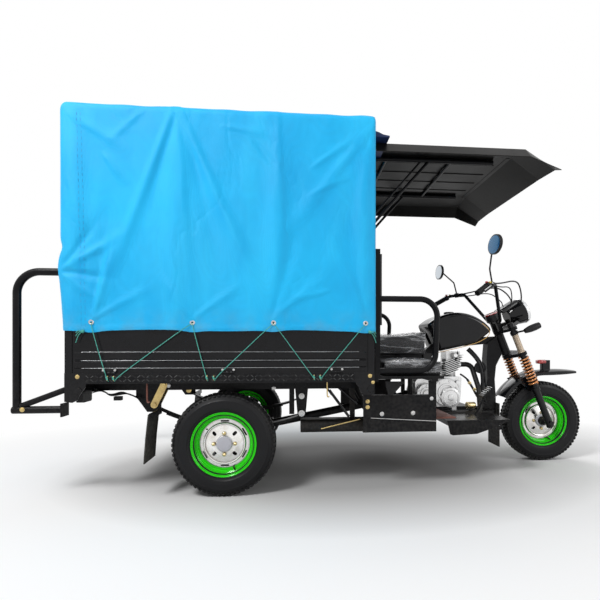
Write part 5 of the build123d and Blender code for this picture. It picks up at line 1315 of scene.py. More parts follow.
@dataclass
class SeatSet:
    """The bench cushions, the driver's saddle, the backrest and their film.

    Attributes:
        cushions: the two cushions of the bench.
        saddle: the driver's saddle.
        backrest: the padded board behind the bench.
        pad_cuts: cuts of each edge of a pad.
        film_cuts: cuts of each edge of a film.
        film_gap: gap between a pad and its film.
        piping: radius of the piping.
        piping_inset: how far the piping lies inside the pad's box.
        piping_turn: how much of a corner the piping cuts off.
    """

    cushions: tuple[PadShape, ...] = (
        PadShape("left_cushion", (0.211, 0.195, 0.6285), (0.521, 0.543, 0.700)),
        PadShape("right_cushion", (0.211, -0.543, 0.6285), (0.521, -0.195, 0.700)),
    )
    saddle: PadShape = PadShape("saddle", (0.220, -0.190, 0.7335), (0.545, 0.190, 0.848), 0.014, 0.010, 0.030)
    backrest: PadShape = PadShape("back_board", (0.186, -0.468, 0.907), (0.209, 0.468, 1.308), 0.008, 0.004)
    pad_cuts: int = 44
    film_cuts: int = 40
    film_gap: float = 0.0035
    piping: float = 0.0028
    piping_inset: float = 0.004
    piping_turn: float = 0.02

    def build(self) -> None:
        """Make all the pads, their piping and the film over them."""
        cushions = Workshop.join([self.pad(shape, 2) for shape in self.cushions])
        for piece, name, node in ((cushions, "bench_cushion_pads", "bench_cushions"),
                                  (self.pad(self.saddle, 2), "driver_seat_pad", "driver_saddle"),
                                  (self.pad(self.backrest, 0), "back_board_pad", "backrest")):
            Workshop.dress(piece, name, Paint.LEATHER, stands_for=node)
        piping = Kit("seat_piping", Paint.LEATHER)
        for shape in (*self.cushions, self.saddle):
            for z in (shape.low[2] + 0.010, shape.high[2] - 0.012):
                self.cord_round(piping, shape, z)
            self.wrap(shape)
        piping.close()

    @staticmethod
    def shares(shape: PadShape, place: Point) -> list[float]:
        """A place as shares of a pad's half size from its middle."""
        return [(place[k] - (shape.low[k] + shape.high[k]) / 2) / ((shape.high[k] - shape.low[k]) / 2)
                for k in range(3)]

    def pad(self, shape: PadShape, face_axis: int) -> Piece:
        """Make one crowned pad with sewn channels.

        Args:
            shape: its size.
            face_axis: the axis of the face that swells, 2 for up and 0 for forward.

        Returns:
            The pad.
        """
        pad = LOOSE.block(shape.low, shape.high)
        Workshop.divide(pad, self.pad_cuts)
        first, second = (k for k in range(3) if k != face_axis)
        for vertex in pad.data.vertices:
            share = self.shares(shape, vertex.co)
            inner = (1.0 - abs(share[first]) ** 4) * (1.0 - abs(share[second]) ** 4)
            out = max(0.0, share[face_axis])
            rows = abs(math.sin(math.pi * 2.5 * (share[first] + 1.0)))
            sewn = 0.005 * (1.0 - rows ** 0.35) * inner
            rumple = 0.0012 * math.sin(60.0 * vertex.co.y + 30.0 * vertex.co.x) * inner
            vertex.co[face_axis] += out * (shape.crown * inner - sewn + rumple)
            if face_axis == 2:
                vertex.co.z += out * shape.lift * max(0.0, share[0]) ** 2
            for k, other in ((first, second), (second, first)):
                pull = shape.pinch * abs(share[k]) ** 6 * (1.0 - share[other] ** 4) * share[face_axis] ** 2
                vertex.co[k] -= math.copysign(pull, share[k])
        Workshop.soften(pad, 0.004, angle_limit=math.radians(55))
        Workshop.outward(pad)
        return Workshop.smooth(pad, 75.0)

    def cord_round(self, kit: Kit, shape: PadShape, z: float) -> None:
        """Make the piping round a pad at a height.

        Args:
            kit: where the piping goes.
            shape: the pad.
            z: height of the piping.
        """
        inset, turn = self.piping_inset, self.piping_turn
        x0, x1 = shape.low[0] + inset, shape.high[0] - inset
        y0, y1 = shape.low[1] + inset, shape.high[1] - inset
        kit.pipe([(x, y, z) for x, y in (
            (x0 + turn, y0), (x1 - turn, y0), (x1, y0 + turn), (x1, y1 - turn), (x1 - turn, y1),
            (x0 + turn, y1), (x0, y1 - turn), (x0, y0 + turn), (x0 + turn, y0))], self.piping, 2, False)

    def wrap(self, shape: PadShape) -> None:
        """Make the crinkled film over a pad, open below.

        Args:
            shape: the pad.
        """
        gap = self.film_gap
        box = PadShape(shape.name, (shape.low[0] - gap, shape.low[1] - gap, shape.low[2] + 0.012),
                       (shape.high[0] + gap, shape.high[1] + gap, shape.high[2] + gap))
        film = Workshop.cube(box.low, box.high)
        bpy.ops.object.mode_set(mode="EDIT")
        bpy.ops.mesh.select_mode(type="FACE")
        bpy.ops.mesh.select_all(action="DESELECT")
        bpy.ops.object.mode_set(mode="OBJECT")
        for face in film.data.polygons:
            face.select = face.normal.z < -0.9
        bpy.ops.object.mode_set(mode="EDIT")
        bpy.ops.mesh.delete(type="FACE")
        bpy.ops.mesh.select_mode(type="VERT")
        Workshop.divide(film, self.film_cuts)
        for vertex in film.data.vertices:
            x, y, z = vertex.co
            share = self.shares(box, vertex.co)
            inner = (1.0 - abs(share[0]) ** 4) * (1.0 - abs(share[1]) ** 4)
            wave = (0.0030 * math.sin(95.0 * x + 41.0 * y + 2.0 * math.sin(63.0 * y))
                    + 0.0022 * math.sin(170.0 * y - 70.0 * x + 30.0 * z))
            rise = (shape.crown + 0.002) * inner + shape.lift * max(0.0, share[0]) ** 2 + 0.6 * wave * inner
            vertex.co.z += max(0.0, share[2]) * rise
            for k in (0, 1):
                if abs(share[k]) > 0.97:
                    vertex.co[k] += math.copysign(0.5 * wave, share[k])
        Workshop.soften(film, 0.006, angle_limit=math.radians(50))
        Workshop.dress(Workshop.smooth(film, 80.0), f"{shape.name}_film", Paint.FILM)


# trim of the bed


@dataclass
class BedTrim:
    """Tread plate strips, hinges, reflectors, bolts, rods and painted rib highlights round the load bed.

    Attributes:
        cover: the canvas, for the seams sewn in it.
        face: y of the side rails' outer face.
        skirt: y of the side skirts' outer face.
        rib_y: y of the ribs of the side panels and of their painted highlight beads.
        rib_z: height of each rib edge, where a painted highlight bead lies.
        strip: X of both ends of the tread plate strip.
        strip_z: height of the strip's edges.
        pitch: spacing of the strip's raised marks.
        hinges: X of the side wall hinges.
        heel_y: y of both ends of a heel plate.
    """

    cover: CanvasCover
    face: float = 0.620
    skirt: float = 0.544
    rib_y: float = 0.6165
    rib_z: tuple[float, ...] = (0.678, 0.716, 0.759)
    strip: Pair = (-1.322, 0.030)
    strip_z: Pair = (0.604, 0.648)
    pitch: float = 0.0225
    hinges: tuple[float, ...] = (-1.206, -0.622, -0.063)
    heel_y: Pair = (0.108, 0.5045)

    def build(self) -> None:
        """Make the trim on both sides."""
        black, gold = Kit("bed_hinges", Paint.PANEL), Kit("plated_bolts", Paint.PLATED)
        steel, brown = Kit("steel_bolts", Paint.STEEL), Kit("brown_rods", Paint.HEEL)
        highlight_beads, lenses = Kit("panel_rib_painted_highlights", Paint.RIB_HIGHLIGHT), Kit("tail_lamp_lenses", Paint.RED)
        low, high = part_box("tail_lamps")
        for hand in SIDES:
            out = (0, hand, 0)

            def lay(points: Sequence[Point]) -> list[Point]:
                """Points given for the left side, on this side."""
                return [(x, hand * y, z) for x, y, z in points]

            self.tread_strip(hand)
            self.hinge_row(black, steel, hand)
            # Painted highlight: a thin light grey bead along each rib edge.
            for z in self.rib_z:
                highlight_beads.pipe(lay(((-1.340, self.rib_y, z), (0.055, self.rib_y, z))), 0.0016, 2, False)
            for place in lay(((-1.354, self.face, 0.566), (0.117, self.face, 0.563))):
                black.turned(((0.0, 0.018), (0.003, 0.018), (0.005, 0.0165), (0.0065, 0.010)), place, out, 28)
            # x, y, z and radius of each bolt
            for kit, flat, rows in ((gold, 0.8, (
                    (-1.358, self.face, 0.636, 0.007), (0.112, self.face, 0.632, 0.007),
                    (0.128, self.face, 0.598, 0.006), (0.113, self.skirt, 0.487, 0.0075),
                    (0.113, self.skirt, 0.456, 0.0075), (-1.644, 0.575, 0.470, 0.008))), (steel, 0.7, (
                    (0.192, self.skirt, 0.418, 0.008), (0.365, self.skirt, 0.421, 0.008),
                    (-0.243, 0.420, 0.505, 0.011), (-0.243, 0.429, 0.409, 0.012), (-0.98, 0.409, 0.57, 0.008),
                    (-0.40, 0.409, 0.55, 0.008), (0.47, self.skirt, 0.50, 0.007)))):
                for x, y, z, size in rows:
                    kit.bolt((x, hand * y, z), out, size, size * flat)
            steel.pipe(lay(((0.131, 0.547, 0.397), (0.30, 0.549, 0.387), (0.494, 0.547, 0.375))), 0.0022)
            gold.pipe(lay(((-0.113, 0.603, 0.612), (-0.113, 0.603, 0.53), (-0.109, 0.606, 0.520),
                           (-0.101, 0.606, 0.524))), 0.0032)
            brown.pipe(lay(((-1.03, 0.600, 0.600), (-1.03, 0.600, 0.51), (-1.024, 0.603, 0.500),
                            (-1.016, 0.603, 0.506))), 0.0042)
            for x0, z0, x1, z1 in ((-0.094, 0.548, 0.014, 0.402), (-0.040, 0.560, 0.060, 0.470)):
                black.pipe(lay(((x0, 0.515, z0), (x1, 0.515, z1))), 0.008, 3, False)
            black.plate(lay(((0.205, 0.563, 0.597), (0.316, 0.563, 0.597), (0.250, 0.563, 0.524),
                             (0.222, 0.563, 0.524))), (0, hand * -0.004, 0), 0.001)
            brown.block(*lay(((0.458, self.heel_y[0], 0.380), (0.626, self.heel_y[1], 0.388))), 0.002)
            for inner, outer in ((0.419, 0.462), (0.466, 0.511)):
                lenses.block((low[0] - 0.004, hand * inner, low[2] + 0.006),
                             (low[0] + 0.006, hand * outer, high[2] - 0.006), 0.0035, 3)
            self.seams(hand)
            self.gusset(hand)
        gold.pipe(((-0.137, -0.50, 0.334), (-0.03, -0.502, 0.36), (0.079, -0.50, 0.384)), 0.0035)
        close_all(black, gold, steel, brown, highlight_beads, lenses)
        self.wiring()

    def hinge_row(self, black: Kit, steel: Kit, hand: int) -> None:
        """Make the hinges of one side wall.

        Args:
            black: where the leaves and knuckles go.
            steel: where their bolts go.
            hand: the side, as the sign of y.
        """
        for x in self.hinges:
            black.block((x - 0.036, hand * 0.6145, 0.656), (x + 0.036, hand * 0.622, 0.676), 0.0015)
            for shift in (-0.022, 0.0, 0.022):
                black.turned(((-0.010, 0.005), (-0.008, 0.0062), (0.008, 0.0062), (0.010, 0.005)),
                             (x + shift, hand * 0.6235, 0.655), (1.0, 0.0, 0.0), 12)
            for shift in (-0.028, 0.028):
                steel.bolt((x + shift, hand * 0.622, 0.668), (0, hand, 0), 0.004, 0.003)

    def tread_strip(self, hand: int) -> None:
        """Make the tread plate strip on one side, with its raised marks.

        Args:
            hand: the side, as the sign of y.
        """
        (start, end), (low, high), y = self.strip, self.strip_z, hand * (self.face + 0.0014)
        name = f"tread_strip_{side_name(hand)}"
        strip = LOOSE.block((start, hand * self.face, low), (end, y, high), 0.0004)
        Workshop.dress(strip, name, Paint.FRAME, slot="panel_black")
        mark = LOOSE.block((-0.0085, -0.0008, -0.0016), (0.0085, 0.0008, 0.0016), 0.0006)
        marks = Kit(f"{name}_marks", Paint.WORN_PLATE)
        for step in range(int((end - start) / self.pitch)):
            for row in (0, 1):
                lean = Matrix.Rotation(math.radians(40 if (step + row) % 2 else -40), 4, "Y")
                place = (start + (step + 0.5) * self.pitch, y, low + (high - low) * (0.28 + 0.44 * row))
                marks.keep(Workshop.copy(mark, Matrix.Translation(place) @ lean))
        bpy.data.objects.remove(mark)
        marks.close()

    def seams(self, hand: int) -> None:
        """Make the two stitched seams near the rear edge of the canvas.

        Args:
            hand: the side, as the sign of y.
        """
        kit, steps = Kit(f"canvas_seams_{side_name(hand)}", Paint.SEAM), 73
        for back in (0.0, 0.018):
            line = []
            for step in range(steps + 1):
                z = 0.885 + 1.09 * step / steps
                x = -1.318 - back - 0.021 * (z - 0.96) / 1.03
                warp = x + self.cover.skew * math.sin(3.1 * z) if hand > 0 else x
                line.append((x, hand * (self.cover.side + self.cover.wall_push(warp, z, hand) + 0.0003), z))
            for start in range(0, steps - 1, 2):
                kit.pipe(line[start:start + 2], 0.0011, 1, False)
        kit.close()

    def gusset(self, hand: int) -> None:
        """Make the dark corner of cloth above the roof's rear edge.

        Args:
            hand: the side, as the sign of y.
        """
        outline = [(x, hand * 0.562, z) for x, z in ((0.146, 1.955), (0.170, 1.948), (0.196, 1.936),
                                                     (0.232, 1.930), (0.232, 1.922), (0.146, 1.922))]
        piece = LOOSE.plate(outline, (0, -hand * 0.30, 0), 0.001)
        Workshop.dress(piece, f"roof_gusset_{side_name(hand)}", Paint.NAVY)

    def wiring(self) -> None:
        """Make the loom and the brake pipes under the bed."""
        kit = Kit("under_bed_wiring", Paint.PLASTIC)
        for shift, radius in ((0.0, 0.004), (0.014, 0.0028), (-0.012, 0.0025), (0.024, 0.002)):
            line = [(-1.37 + 0.05 * k, -0.44 + shift + 0.016 * math.sin(1.9 * k + 30 * shift),
                     0.545 + 0.018 * math.sin(2.3 * k + 50 * shift) - 0.006 * k) for k in range(6)]
            kit.pipe(line, radius, 2)
        kit.block((-1.255, -0.452, 0.495), (-1.215, -0.425, 0.517), 0.002)
        kit.pipe(((-1.30, -0.30, 0.552), (-0.9, -0.31, 0.545), (-0.4, -0.30, 0.551), (0.1, -0.29, 0.548)),
                 0.007, 2)
        for hand in SIDES:
            kit.pipe(((REAR_X + 0.02, hand * 0.05, 0.33), (REAR_X + 0.03, hand * 0.2, 0.318),
                      (REAR_X + 0.045, hand * 0.40, 0.322)), 0.0035, 2)
        kit.close()


# tyres


@dataclass
class Tyres:
    """Three like tyres with shoulder lugs, centre blocks and ringed walls.

    Attributes:
        lugs: how many lugs stand in one row.
        lug_long: length of a lug round the tyre.
        wall: distances across the tyre between which a lug lies.
        half: half of the tyre's section from its bead to its middle, as distances across and radii.
    """

    lugs: int = 64
    lug_long: float = 0.0165
    wall: Pair = (0.0335, 0.0575)
    half: tuple[Pair, ...] = (
        (0.0455, 0.1530), (0.0460, 0.1695), (0.0495, 0.1745), (0.0520, 0.1755), (0.0530, 0.1790),
        (0.0570, 0.1870), (0.0590, 0.1885), (0.0595, 0.1915), (0.0612, 0.2020), (0.0616, 0.2150),
        (0.0605, 0.2280), (0.0612, 0.2310), (0.0590, 0.2340), (0.0555, 0.2450), (0.0510, 0.2555),
        (0.0450, 0.2630), (0.0330, 0.2662), (0.0310, 0.2630), (0.0275, 0.2630), (0.0255, 0.2672),
    )

    def ring_of(self, lug: Piece) -> Piece:
        """Repeat a lug all the way round by doubling.

        Args:
            lug: the lug, at the top of the tyre.

        Returns:
            The joined row.
        """
        count = 1
        while count < self.lugs:
            turn = Matrix.Rotation(2 * math.pi * count / self.lugs, 4, "Y")
            lug = Workshop.join((lug, Workshop.copy(lug, turn)))
            count *= 2
        return lug

    def build(self) -> None:
        """Make one tyre and copy it to each wheel."""
        profile = [(-y, r) for y, r in self.half] + list(reversed(self.half))
        pieces = [LOOSE.turned(profile, (0, 0, 0), (0, 1, 0), 112, True)]
        inner, outer = self.wall
        for hand in SIDES:
            lug = LOOSE.block((-self.lug_long / 2, hand * inner, 0.2535),
                              (self.lug_long / 2, hand * outer, 0.2712), 0.0022)
            for vertex in lug.data.vertices:
                if vertex.co.z > 0.262 and abs(vertex.co.y) > 0.045:
                    vertex.co.z -= 0.0085
                    vertex.co.y -= hand * 0.003
                vertex.co.x += 0.10 * (abs(vertex.co.y) - inner)
            lug.data.transform(Matrix.Rotation(math.pi / self.lugs * (hand + 1) / 2, 4, "Y"))
            pieces.append(self.ring_of(lug))
        block = LOOSE.block((-0.0090, -0.0165, 0.2655), (0.0090, 0.0165, 0.2719), 0.0016)
        block.data.transform(Matrix.Rotation(0.35, 4, "Z"))
        tyre = Workshop.join((*pieces, self.ring_of(block)))
        for name, place, _, body in WHEEL_PLACES:
            piece = Workshop.copy(tyre, Matrix.Translation(place))
            Workshop.dress(piece, f"{name}_treaded_tyre", Paint.TYRES[name], body, f"{name}_tyre")
        bpy.data.objects.remove(tyre)


# wheels


@dataclass(frozen=True)
class Wheels:
    """Three like wheels: a stepped green rim round a silver dish with ovals, a cap and brass nuts.

    Attributes:
        rim: section of the rim, as places outwards and radii.
        dish: section of the dish.
        cap: section of the hub cap.
        drum: section of the brake drum, up to its outer edge.
        oval_circle: radius of the circle of the ovals.
        slot_circle: radius of the circle of the narrow slots.
        nut_circle: radius of the circle of the nuts.
    """

    rim: tuple[Pair, ...] = (
        (0.0462, 0.1712), (0.0485, 0.1705), (0.0495, 0.1685), (0.0485, 0.1660), (0.0462, 0.1640),
        (0.0462, 0.1618), (0.0476, 0.1602), (0.0455, 0.1578), (0.0385, 0.1558), (0.0340, 0.1500),
        (0.0346, 0.1474), (0.0325, 0.1450), (0.0240, 0.1432), (0.0215, 0.1375), (0.0225, 0.1350),
        (0.0200, 0.1330), (0.0050, 0.1308), (-0.0200, 0.1300), (-0.0220, 0.1430), (-0.0400, 0.1560),
        (-0.0455, 0.1580), (-0.0475, 0.1640), (-0.0475, 0.1705), (-0.0462, 0.1712), (-0.0420, 0.1600),
        (-0.0260, 0.1480), (-0.0240, 0.1345), (0.0160, 0.1355), (0.0180, 0.1440), (0.0290, 0.1490),
        (0.0330, 0.1570), (0.0430, 0.1600),
    )
    dish: tuple[Pair, ...] = (
        (0.0195, 0.020), (0.0195, 0.058), (0.0155, 0.068), (0.0065, 0.096), (0.0035, 0.109),
        (0.0030, 0.1309), (0.0060, 0.1309), (0.0065, 0.125), (0.0060, 0.112), (0.0150, 0.1088),
        (0.0175, 0.1070), (0.0165, 0.1040), (0.0085, 0.1005), (0.0095, 0.096), (0.0190, 0.068),
        (0.0225, 0.060), (0.0225, 0.020),
    )
    cap: tuple[Pair, ...] = (
        (0.0215, 0.042), (0.0300, 0.0415), (0.0335, 0.039), (0.0350, 0.034), (0.0354, 0.020), (0.0356, 0.006),
    )
    drum: tuple[Pair, ...] = (
        (-0.0665, 0.060), (-0.0650, 0.074), (-0.0600, 0.0778), (-0.030, 0.0778), (-0.028, 0.0745),
        (-0.012, 0.0745), (-0.010, 0.0778),
    )
    oval_circle: float = 0.075
    slot_circle: float = 0.1185
    nut_circle: float = 0.056

    def build(self) -> None:
        """Make each wheel in its place."""
        for name, centre, out, body in WHEEL_PLACES:
            rim = LOOSE.turned(self.rim, centre, (0, out, 0), 96, True)
            Workshop.dress(rim, f"{name}_green_rim", Paint.GREEN, body, f"{name}_wheel")
            dish = LOOSE.turned(self.dish, centre, (0, out, 0), 96)
            self.cut(dish, centre)
            Workshop.dress(dish, f"{name}_silver_dish", Paint.SILVER, body)
            self.hub(name, centre, out, body)

    def cut(self, dish: Piece, centre: Point) -> None:
        """Cut the four ovals and the six narrow slots.

        Args:
            dish: the turned dish.
            centre: middle of the wheel.
        """
        for count, first, circle, long, wide in ((4, 45, self.oval_circle, 0.026, 0.017),
                                                 (6, 30, self.slot_circle, 0.009, 0.046)):
            for step in range(count):
                tool = LOOSE.block((circle - long / 2, -0.05, -wide / 2), (circle + long / 2, 0.05, wide / 2),
                                   min(long, wide) * 0.45, 3)
                turn = Matrix.Rotation(math.radians(first + 360 / count * step), 4, "Y")
                tool.data.transform(Matrix.Translation(centre) @ turn)
                Workshop.modify(dish, "BOOLEAN", object=tool, operation="DIFFERENCE")
                bpy.data.objects.remove(tool)
        Workshop.smooth(dish, 30.0)

    def hub(self, name: str, centre: Point, out: int, body: Body) -> None:
        """Make the cap, the nuts, the drum and the valve.

        Args:
            name: which wheel.
            centre: middle of the wheel.
            out: the sign of y of its outer face.
            body: the body it rides on.
        """
        axis, (x, y, z) = (0, out, 0), centre
        cap = Kit(f"{name}_hub_cap", Paint.CAP, body)
        cap.turned(self.cap, centre, axis, 48)
        nuts = Kit(f"{name}_wheel_nuts", Paint.BRASS, body)
        for turn in (0.0, 0.5 * math.pi, math.pi, 1.5 * math.pi):
            place = (x + self.nut_circle * math.cos(turn), y, z + self.nut_circle * math.sin(turn))
            nuts.turned(((0.022, 0.0105), (0.030, 0.0105), (0.031, 0.0092)), place, axis, 6)
            nuts.turned(((0.030, 0.0066), (0.036, 0.0062), (0.038, 0.0035)), place, axis, 16)
        drum = Kit(f"{name}_drum", Paint.FRAME, body)
        front = body is Body.FRONT_WHEEL
        edge = 0.0 if front else 0.004
        drum.turned((*self.drum, (edge - 0.004, 0.0778), (edge, 0.070)), centre, axis, 64)
        if front:
            drum.turned(((-0.001, 0.034), (0.0225, 0.034), (0.060, 0.026), (0.066, 0.024)), centre, axis, 32)
        else:
            drum.turned(((-0.127, 0.016), (-0.125, 0.0174), (-0.060, 0.0174)), centre, axis, 24)
            drum.turned(((-0.001, 0.050), (0.0205, 0.044)), centre, axis, 32)
        drum.pipe([(x + ahead, y + out * side, z - down) for ahead, side, down in (
            (0.047, 0.010, 0.122), (0.050, 0.026, 0.124), (0.054, 0.040, 0.128))], 0.0042, 2)
        close_all(cap, nuts, drum)


# front end


def steering_place(ahead: float, left: float, up: float) -> Vector:
    """A place given along the steering axis.

    Args:
        ahead: distance ahead of the axis.
        left: distance to the left.
        up: distance up along the axis from the level of the wheel's middle.

    Returns:
        The place.
    """
    lean, rise, offset = math.cos(RAKE), math.sin(RAKE), ahead - FrontEnd.leg[0]
    return Vector((FRONT_X + offset * lean - up * rise, left, TYRE_RADIUS + offset * rise + up * lean))


@dataclass(frozen=True)
class FrontEnd:
    """What the steering carries: coil springs, sleeves, lamp rim, dial, lenses, mirrors and cables.

    Attributes:
        leg: distance ahead and across of a fork leg from the steering axis.
        coil: height of both ends of a spring, along the steering axis.
        turns: turns of a spring.
        turn_steps: points of one turn.
        coil_radius: radius of a spring's middle line.
        wire: radius of its wire.
        lamp_up: height of the headlamp along the steering axis.
        cowl: half the size of the lamp's cowl.
    """

    leg: Pair = (0.050, 0.110)
    coil: Pair = (0.2795, 0.4825)
    turns: float = 9.5
    turn_steps: int = 14
    coil_radius: float = 0.0285
    wire: float = 0.0062
    lamp_up: float = 0.754
    cowl: Point = (0.075, 0.062, 0.014)

    @staticmethod
    def one(name: str, finish: Finish, *turned: object) -> None:
        """Make and dress one turned piece on the steering.

        Args:
            name: its name.
            finish: its finish.
            turned: what Workshop.turned takes.
        """
        Workshop.dress(LOOSE.turned(*turned), name, finish, Body.STEERING)

    def build(self) -> None:
        """Make all of it."""
        self.springs()
        self.lamps()
        self.grips()
        self.mirrors()
        self.cables()

    def springs(self) -> None:
        """Make the open coil springs and the pale sleeves above them."""
        coils = Kit("fork_coil_springs", Paint.COPPER, Body.STEERING)
        sleeves = Kit("fork_sleeves", Paint.CHAMPAGNE, Body.STEERING)
        up = steering_place(0.0, 0.0, 1.0) - steering_place(0.0, 0.0, 0.0)
        steps = int(self.turns * self.turn_steps)
        low, high = self.coil
        for hand in SIDES:
            line = []
            for step in range(steps + 1):
                turn = 2 * math.pi * self.turns * step / steps
                line.append(steering_place(self.leg[0] + self.coil_radius * math.cos(turn),
                                           hand * self.leg[1] + self.coil_radius * math.sin(turn),
                                           low + (high - low) * step / steps))
            coils.pipe(line, self.wire, 2)
            foot = steering_place(self.leg[0], hand * self.leg[1], 0.0)
            sleeves.turned(((0.5125, 0.0180), (0.5130, 0.0205), (0.6385, 0.0205), (0.6390, 0.0180)),
                           foot, up, 40)
            sleeves.turned(((0.5128, 0.0240), (0.5200, 0.0240), (0.5215, 0.0206)), foot, up, 40)
        coils.close("fork_springs")
        sleeves.close()

    def lamps(self) -> None:
        """Make the headlamp's rim, lens and cowl, the dial, and the lenses of the signals."""
        ahead = steering_place(1.0, 0.0, 0.0) - steering_place(0.0, 0.0, 0.0)
        up = steering_place(0.0, 0.0, 1.0) - steering_place(0.0, 0.0, 0.0)
        lamp, dial = steering_place(0.0, 0.0, self.lamp_up), steering_place(0.005, 0.0, 0.0)
        self.one("lamp_rim", Paint.CHROME, (
            (0.2030, 0.0885), (0.2080, 0.0905), (0.2160, 0.0905), (0.2215, 0.0870), (0.2225, 0.0800),
            (0.2170, 0.0785), (0.2040, 0.0842)), lamp, ahead, 64, True)
        self.one("lamp_lens", Paint.CLEAR, (
            (0.2150, 0.0790), (0.2185, 0.0785), (0.2225, 0.0600), (0.2243, 0.0350), (0.2250, 0.0060)),
            lamp, ahead, 64)
        self.one("gauge_rim", Paint.RED, (
            (0.813, 0.0492), (0.8135, 0.0502), (0.8190, 0.0500), (0.8200, 0.0470), (0.8180, 0.0440)),
            dial, up, 48, True)
        self.one("gauge_face", Paint.DIAL, ((0.8135, 0.0450), (0.8165, 0.0445), (0.8170, 0.0200)),
                 dial, up, 40)
        amber = Kit("signal_lenses", Paint.AMBER, Body.STEERING)
        for hand in SIDES:
            amber.turned(((0.172, 0.0160), (0.181, 0.0158), (0.185, 0.0120), (0.186, 0.0040)),
                         steering_place(0.0, hand * 0.2, 0.651), ahead, 28)
        amber.close()
        long, half, thick = self.cowl
        shell = LOOSE.block((-long, -half, -thick), (long, half, thick), 0.012, 4)
        for vertex in shell.data.vertices:
            vertex.co.z += 0.022 * (1.0 - (vertex.co.y / half) ** 2) - 0.010
            vertex.co.y *= 1.0 - 0.25 * max(0.0, vertex.co.x / long)
        lean = Matrix.Rotation(math.radians(-32), 4, "Y")
        shell.data.transform(Matrix.Translation((1.186, 0.0, 1.062)) @ lean)
        Workshop.dress(shell, "lamp_cowl", Paint.COWL, Body.STEERING)
        tip = LOOSE.block((FRONT_X - 0.0195, -0.0205, 0.664), (FRONT_X + 0.0435, 0.0205, 0.6925), 0.009, 4)
        Workshop.dress(tip, "fender_lamp_lens", Paint.RED, Body.STEERING)

    def grips(self) -> None:
        """Make the ribs of the grips, the switches' buttons and the two levers."""
        ribs, levers, red, yellow = (Kit(name, finish, Body.STEERING) for name, finish in (
            ("grip_ribs", Paint.GRIP), ("hand_levers", Paint.CHROME), ("red_switches", Paint.RED),
            ("yellow_switches", Paint.YELLOW)))
        ahead = steering_place(0.045, 0.0, 0.0) - steering_place(0.0, 0.0, 0.0)
        for hand in SIDES:
            inner = steering_place(-0.098, hand * 0.325, 1.026)
            outer = steering_place(-0.222, hand * 0.396, 1.005)
            for step in range(9):
                ribs.turned(((-0.0022, 0.0170), (-0.0014, 0.0184), (0.0014, 0.0184), (0.0022, 0.0170)),
                            inner.lerp(outer, 0.34 + 0.075 * step), outer - inner, 24)
            levers.pipe((inner + 0.35 * ahead, inner.lerp(outer, 0.16) + ahead,
                         inner.lerp(outer, 0.5) + 1.05 * ahead, inner.lerp(outer, 0.98) + ahead), 0.0042, 3)
            top = inner.lerp(outer, 0.16) + Vector((0.0, 0.0, 0.020))
            red.block(top - Vector((0.012, 0.007, 0.004)), top + Vector((0.004, 0.007, 0.006)), 0.002)
            top += Vector((0.019, -hand * 0.006, 0.0))
            yellow.block(top - Vector((0.006, 0.007, 0.004)), top + Vector((0.007, 0.007, 0.006)), 0.002)
        close_all(ribs, levers, red, yellow)

    def mirrors(self) -> None:
        """Make the reflecting faces of the two mirrors, the right one with a painted sky reflection in its
        dark blue colour.
        """
        for hand, finish in ((-1, Paint.MIRROR_PAINTED_SKY), (1, Paint.MIRROR)):
            face = LOOSE.turned(((0.0, 1.0), (0.0006, 1.0), (0.0010, 0.95)), (0, 0, 0), (-1, 0, 0), 48)
            place = steering_place(-0.046, hand * 0.462, 1.231) - Vector((0.0091, 0.0, 0.0))
            face.data.transform(Matrix.Translation(place) @ Matrix.Diagonal((1.0, 0.070, 0.051, 1.0)))
            Workshop.dress(face, f"{side_name(hand)}_mirror_face", finish, Body.STEERING)

    def cables(self) -> None:
        """Make the control cables between the handlebar and the lamp, held at both ends."""
        kit = Kit("control_cables", Paint.PLASTIC, Body.STEERING)
        for hand in SIDES:
            for drop, radius in ((0.0, 0.0048), (0.045, 0.0036)):
                start = steering_place(-0.060, hand * 0.305, 1.020 - 0.3 * drop)
                kit.pipe((start, start + Vector((0.060, -hand * 0.050, 0.004 - 0.2 * drop)),
                          (1.180 - drop, hand * 0.150, 1.226 - drop),
                          (1.243 - 1.4 * drop, hand * 0.090, 1.165 - drop),
                          (1.266 - 1.6 * drop, hand * 0.055, 1.085),
                          (1.250 - 1.6 * drop, hand * 0.040, 1.010)), radius, 2)
        kit.close()


# engine and running gear


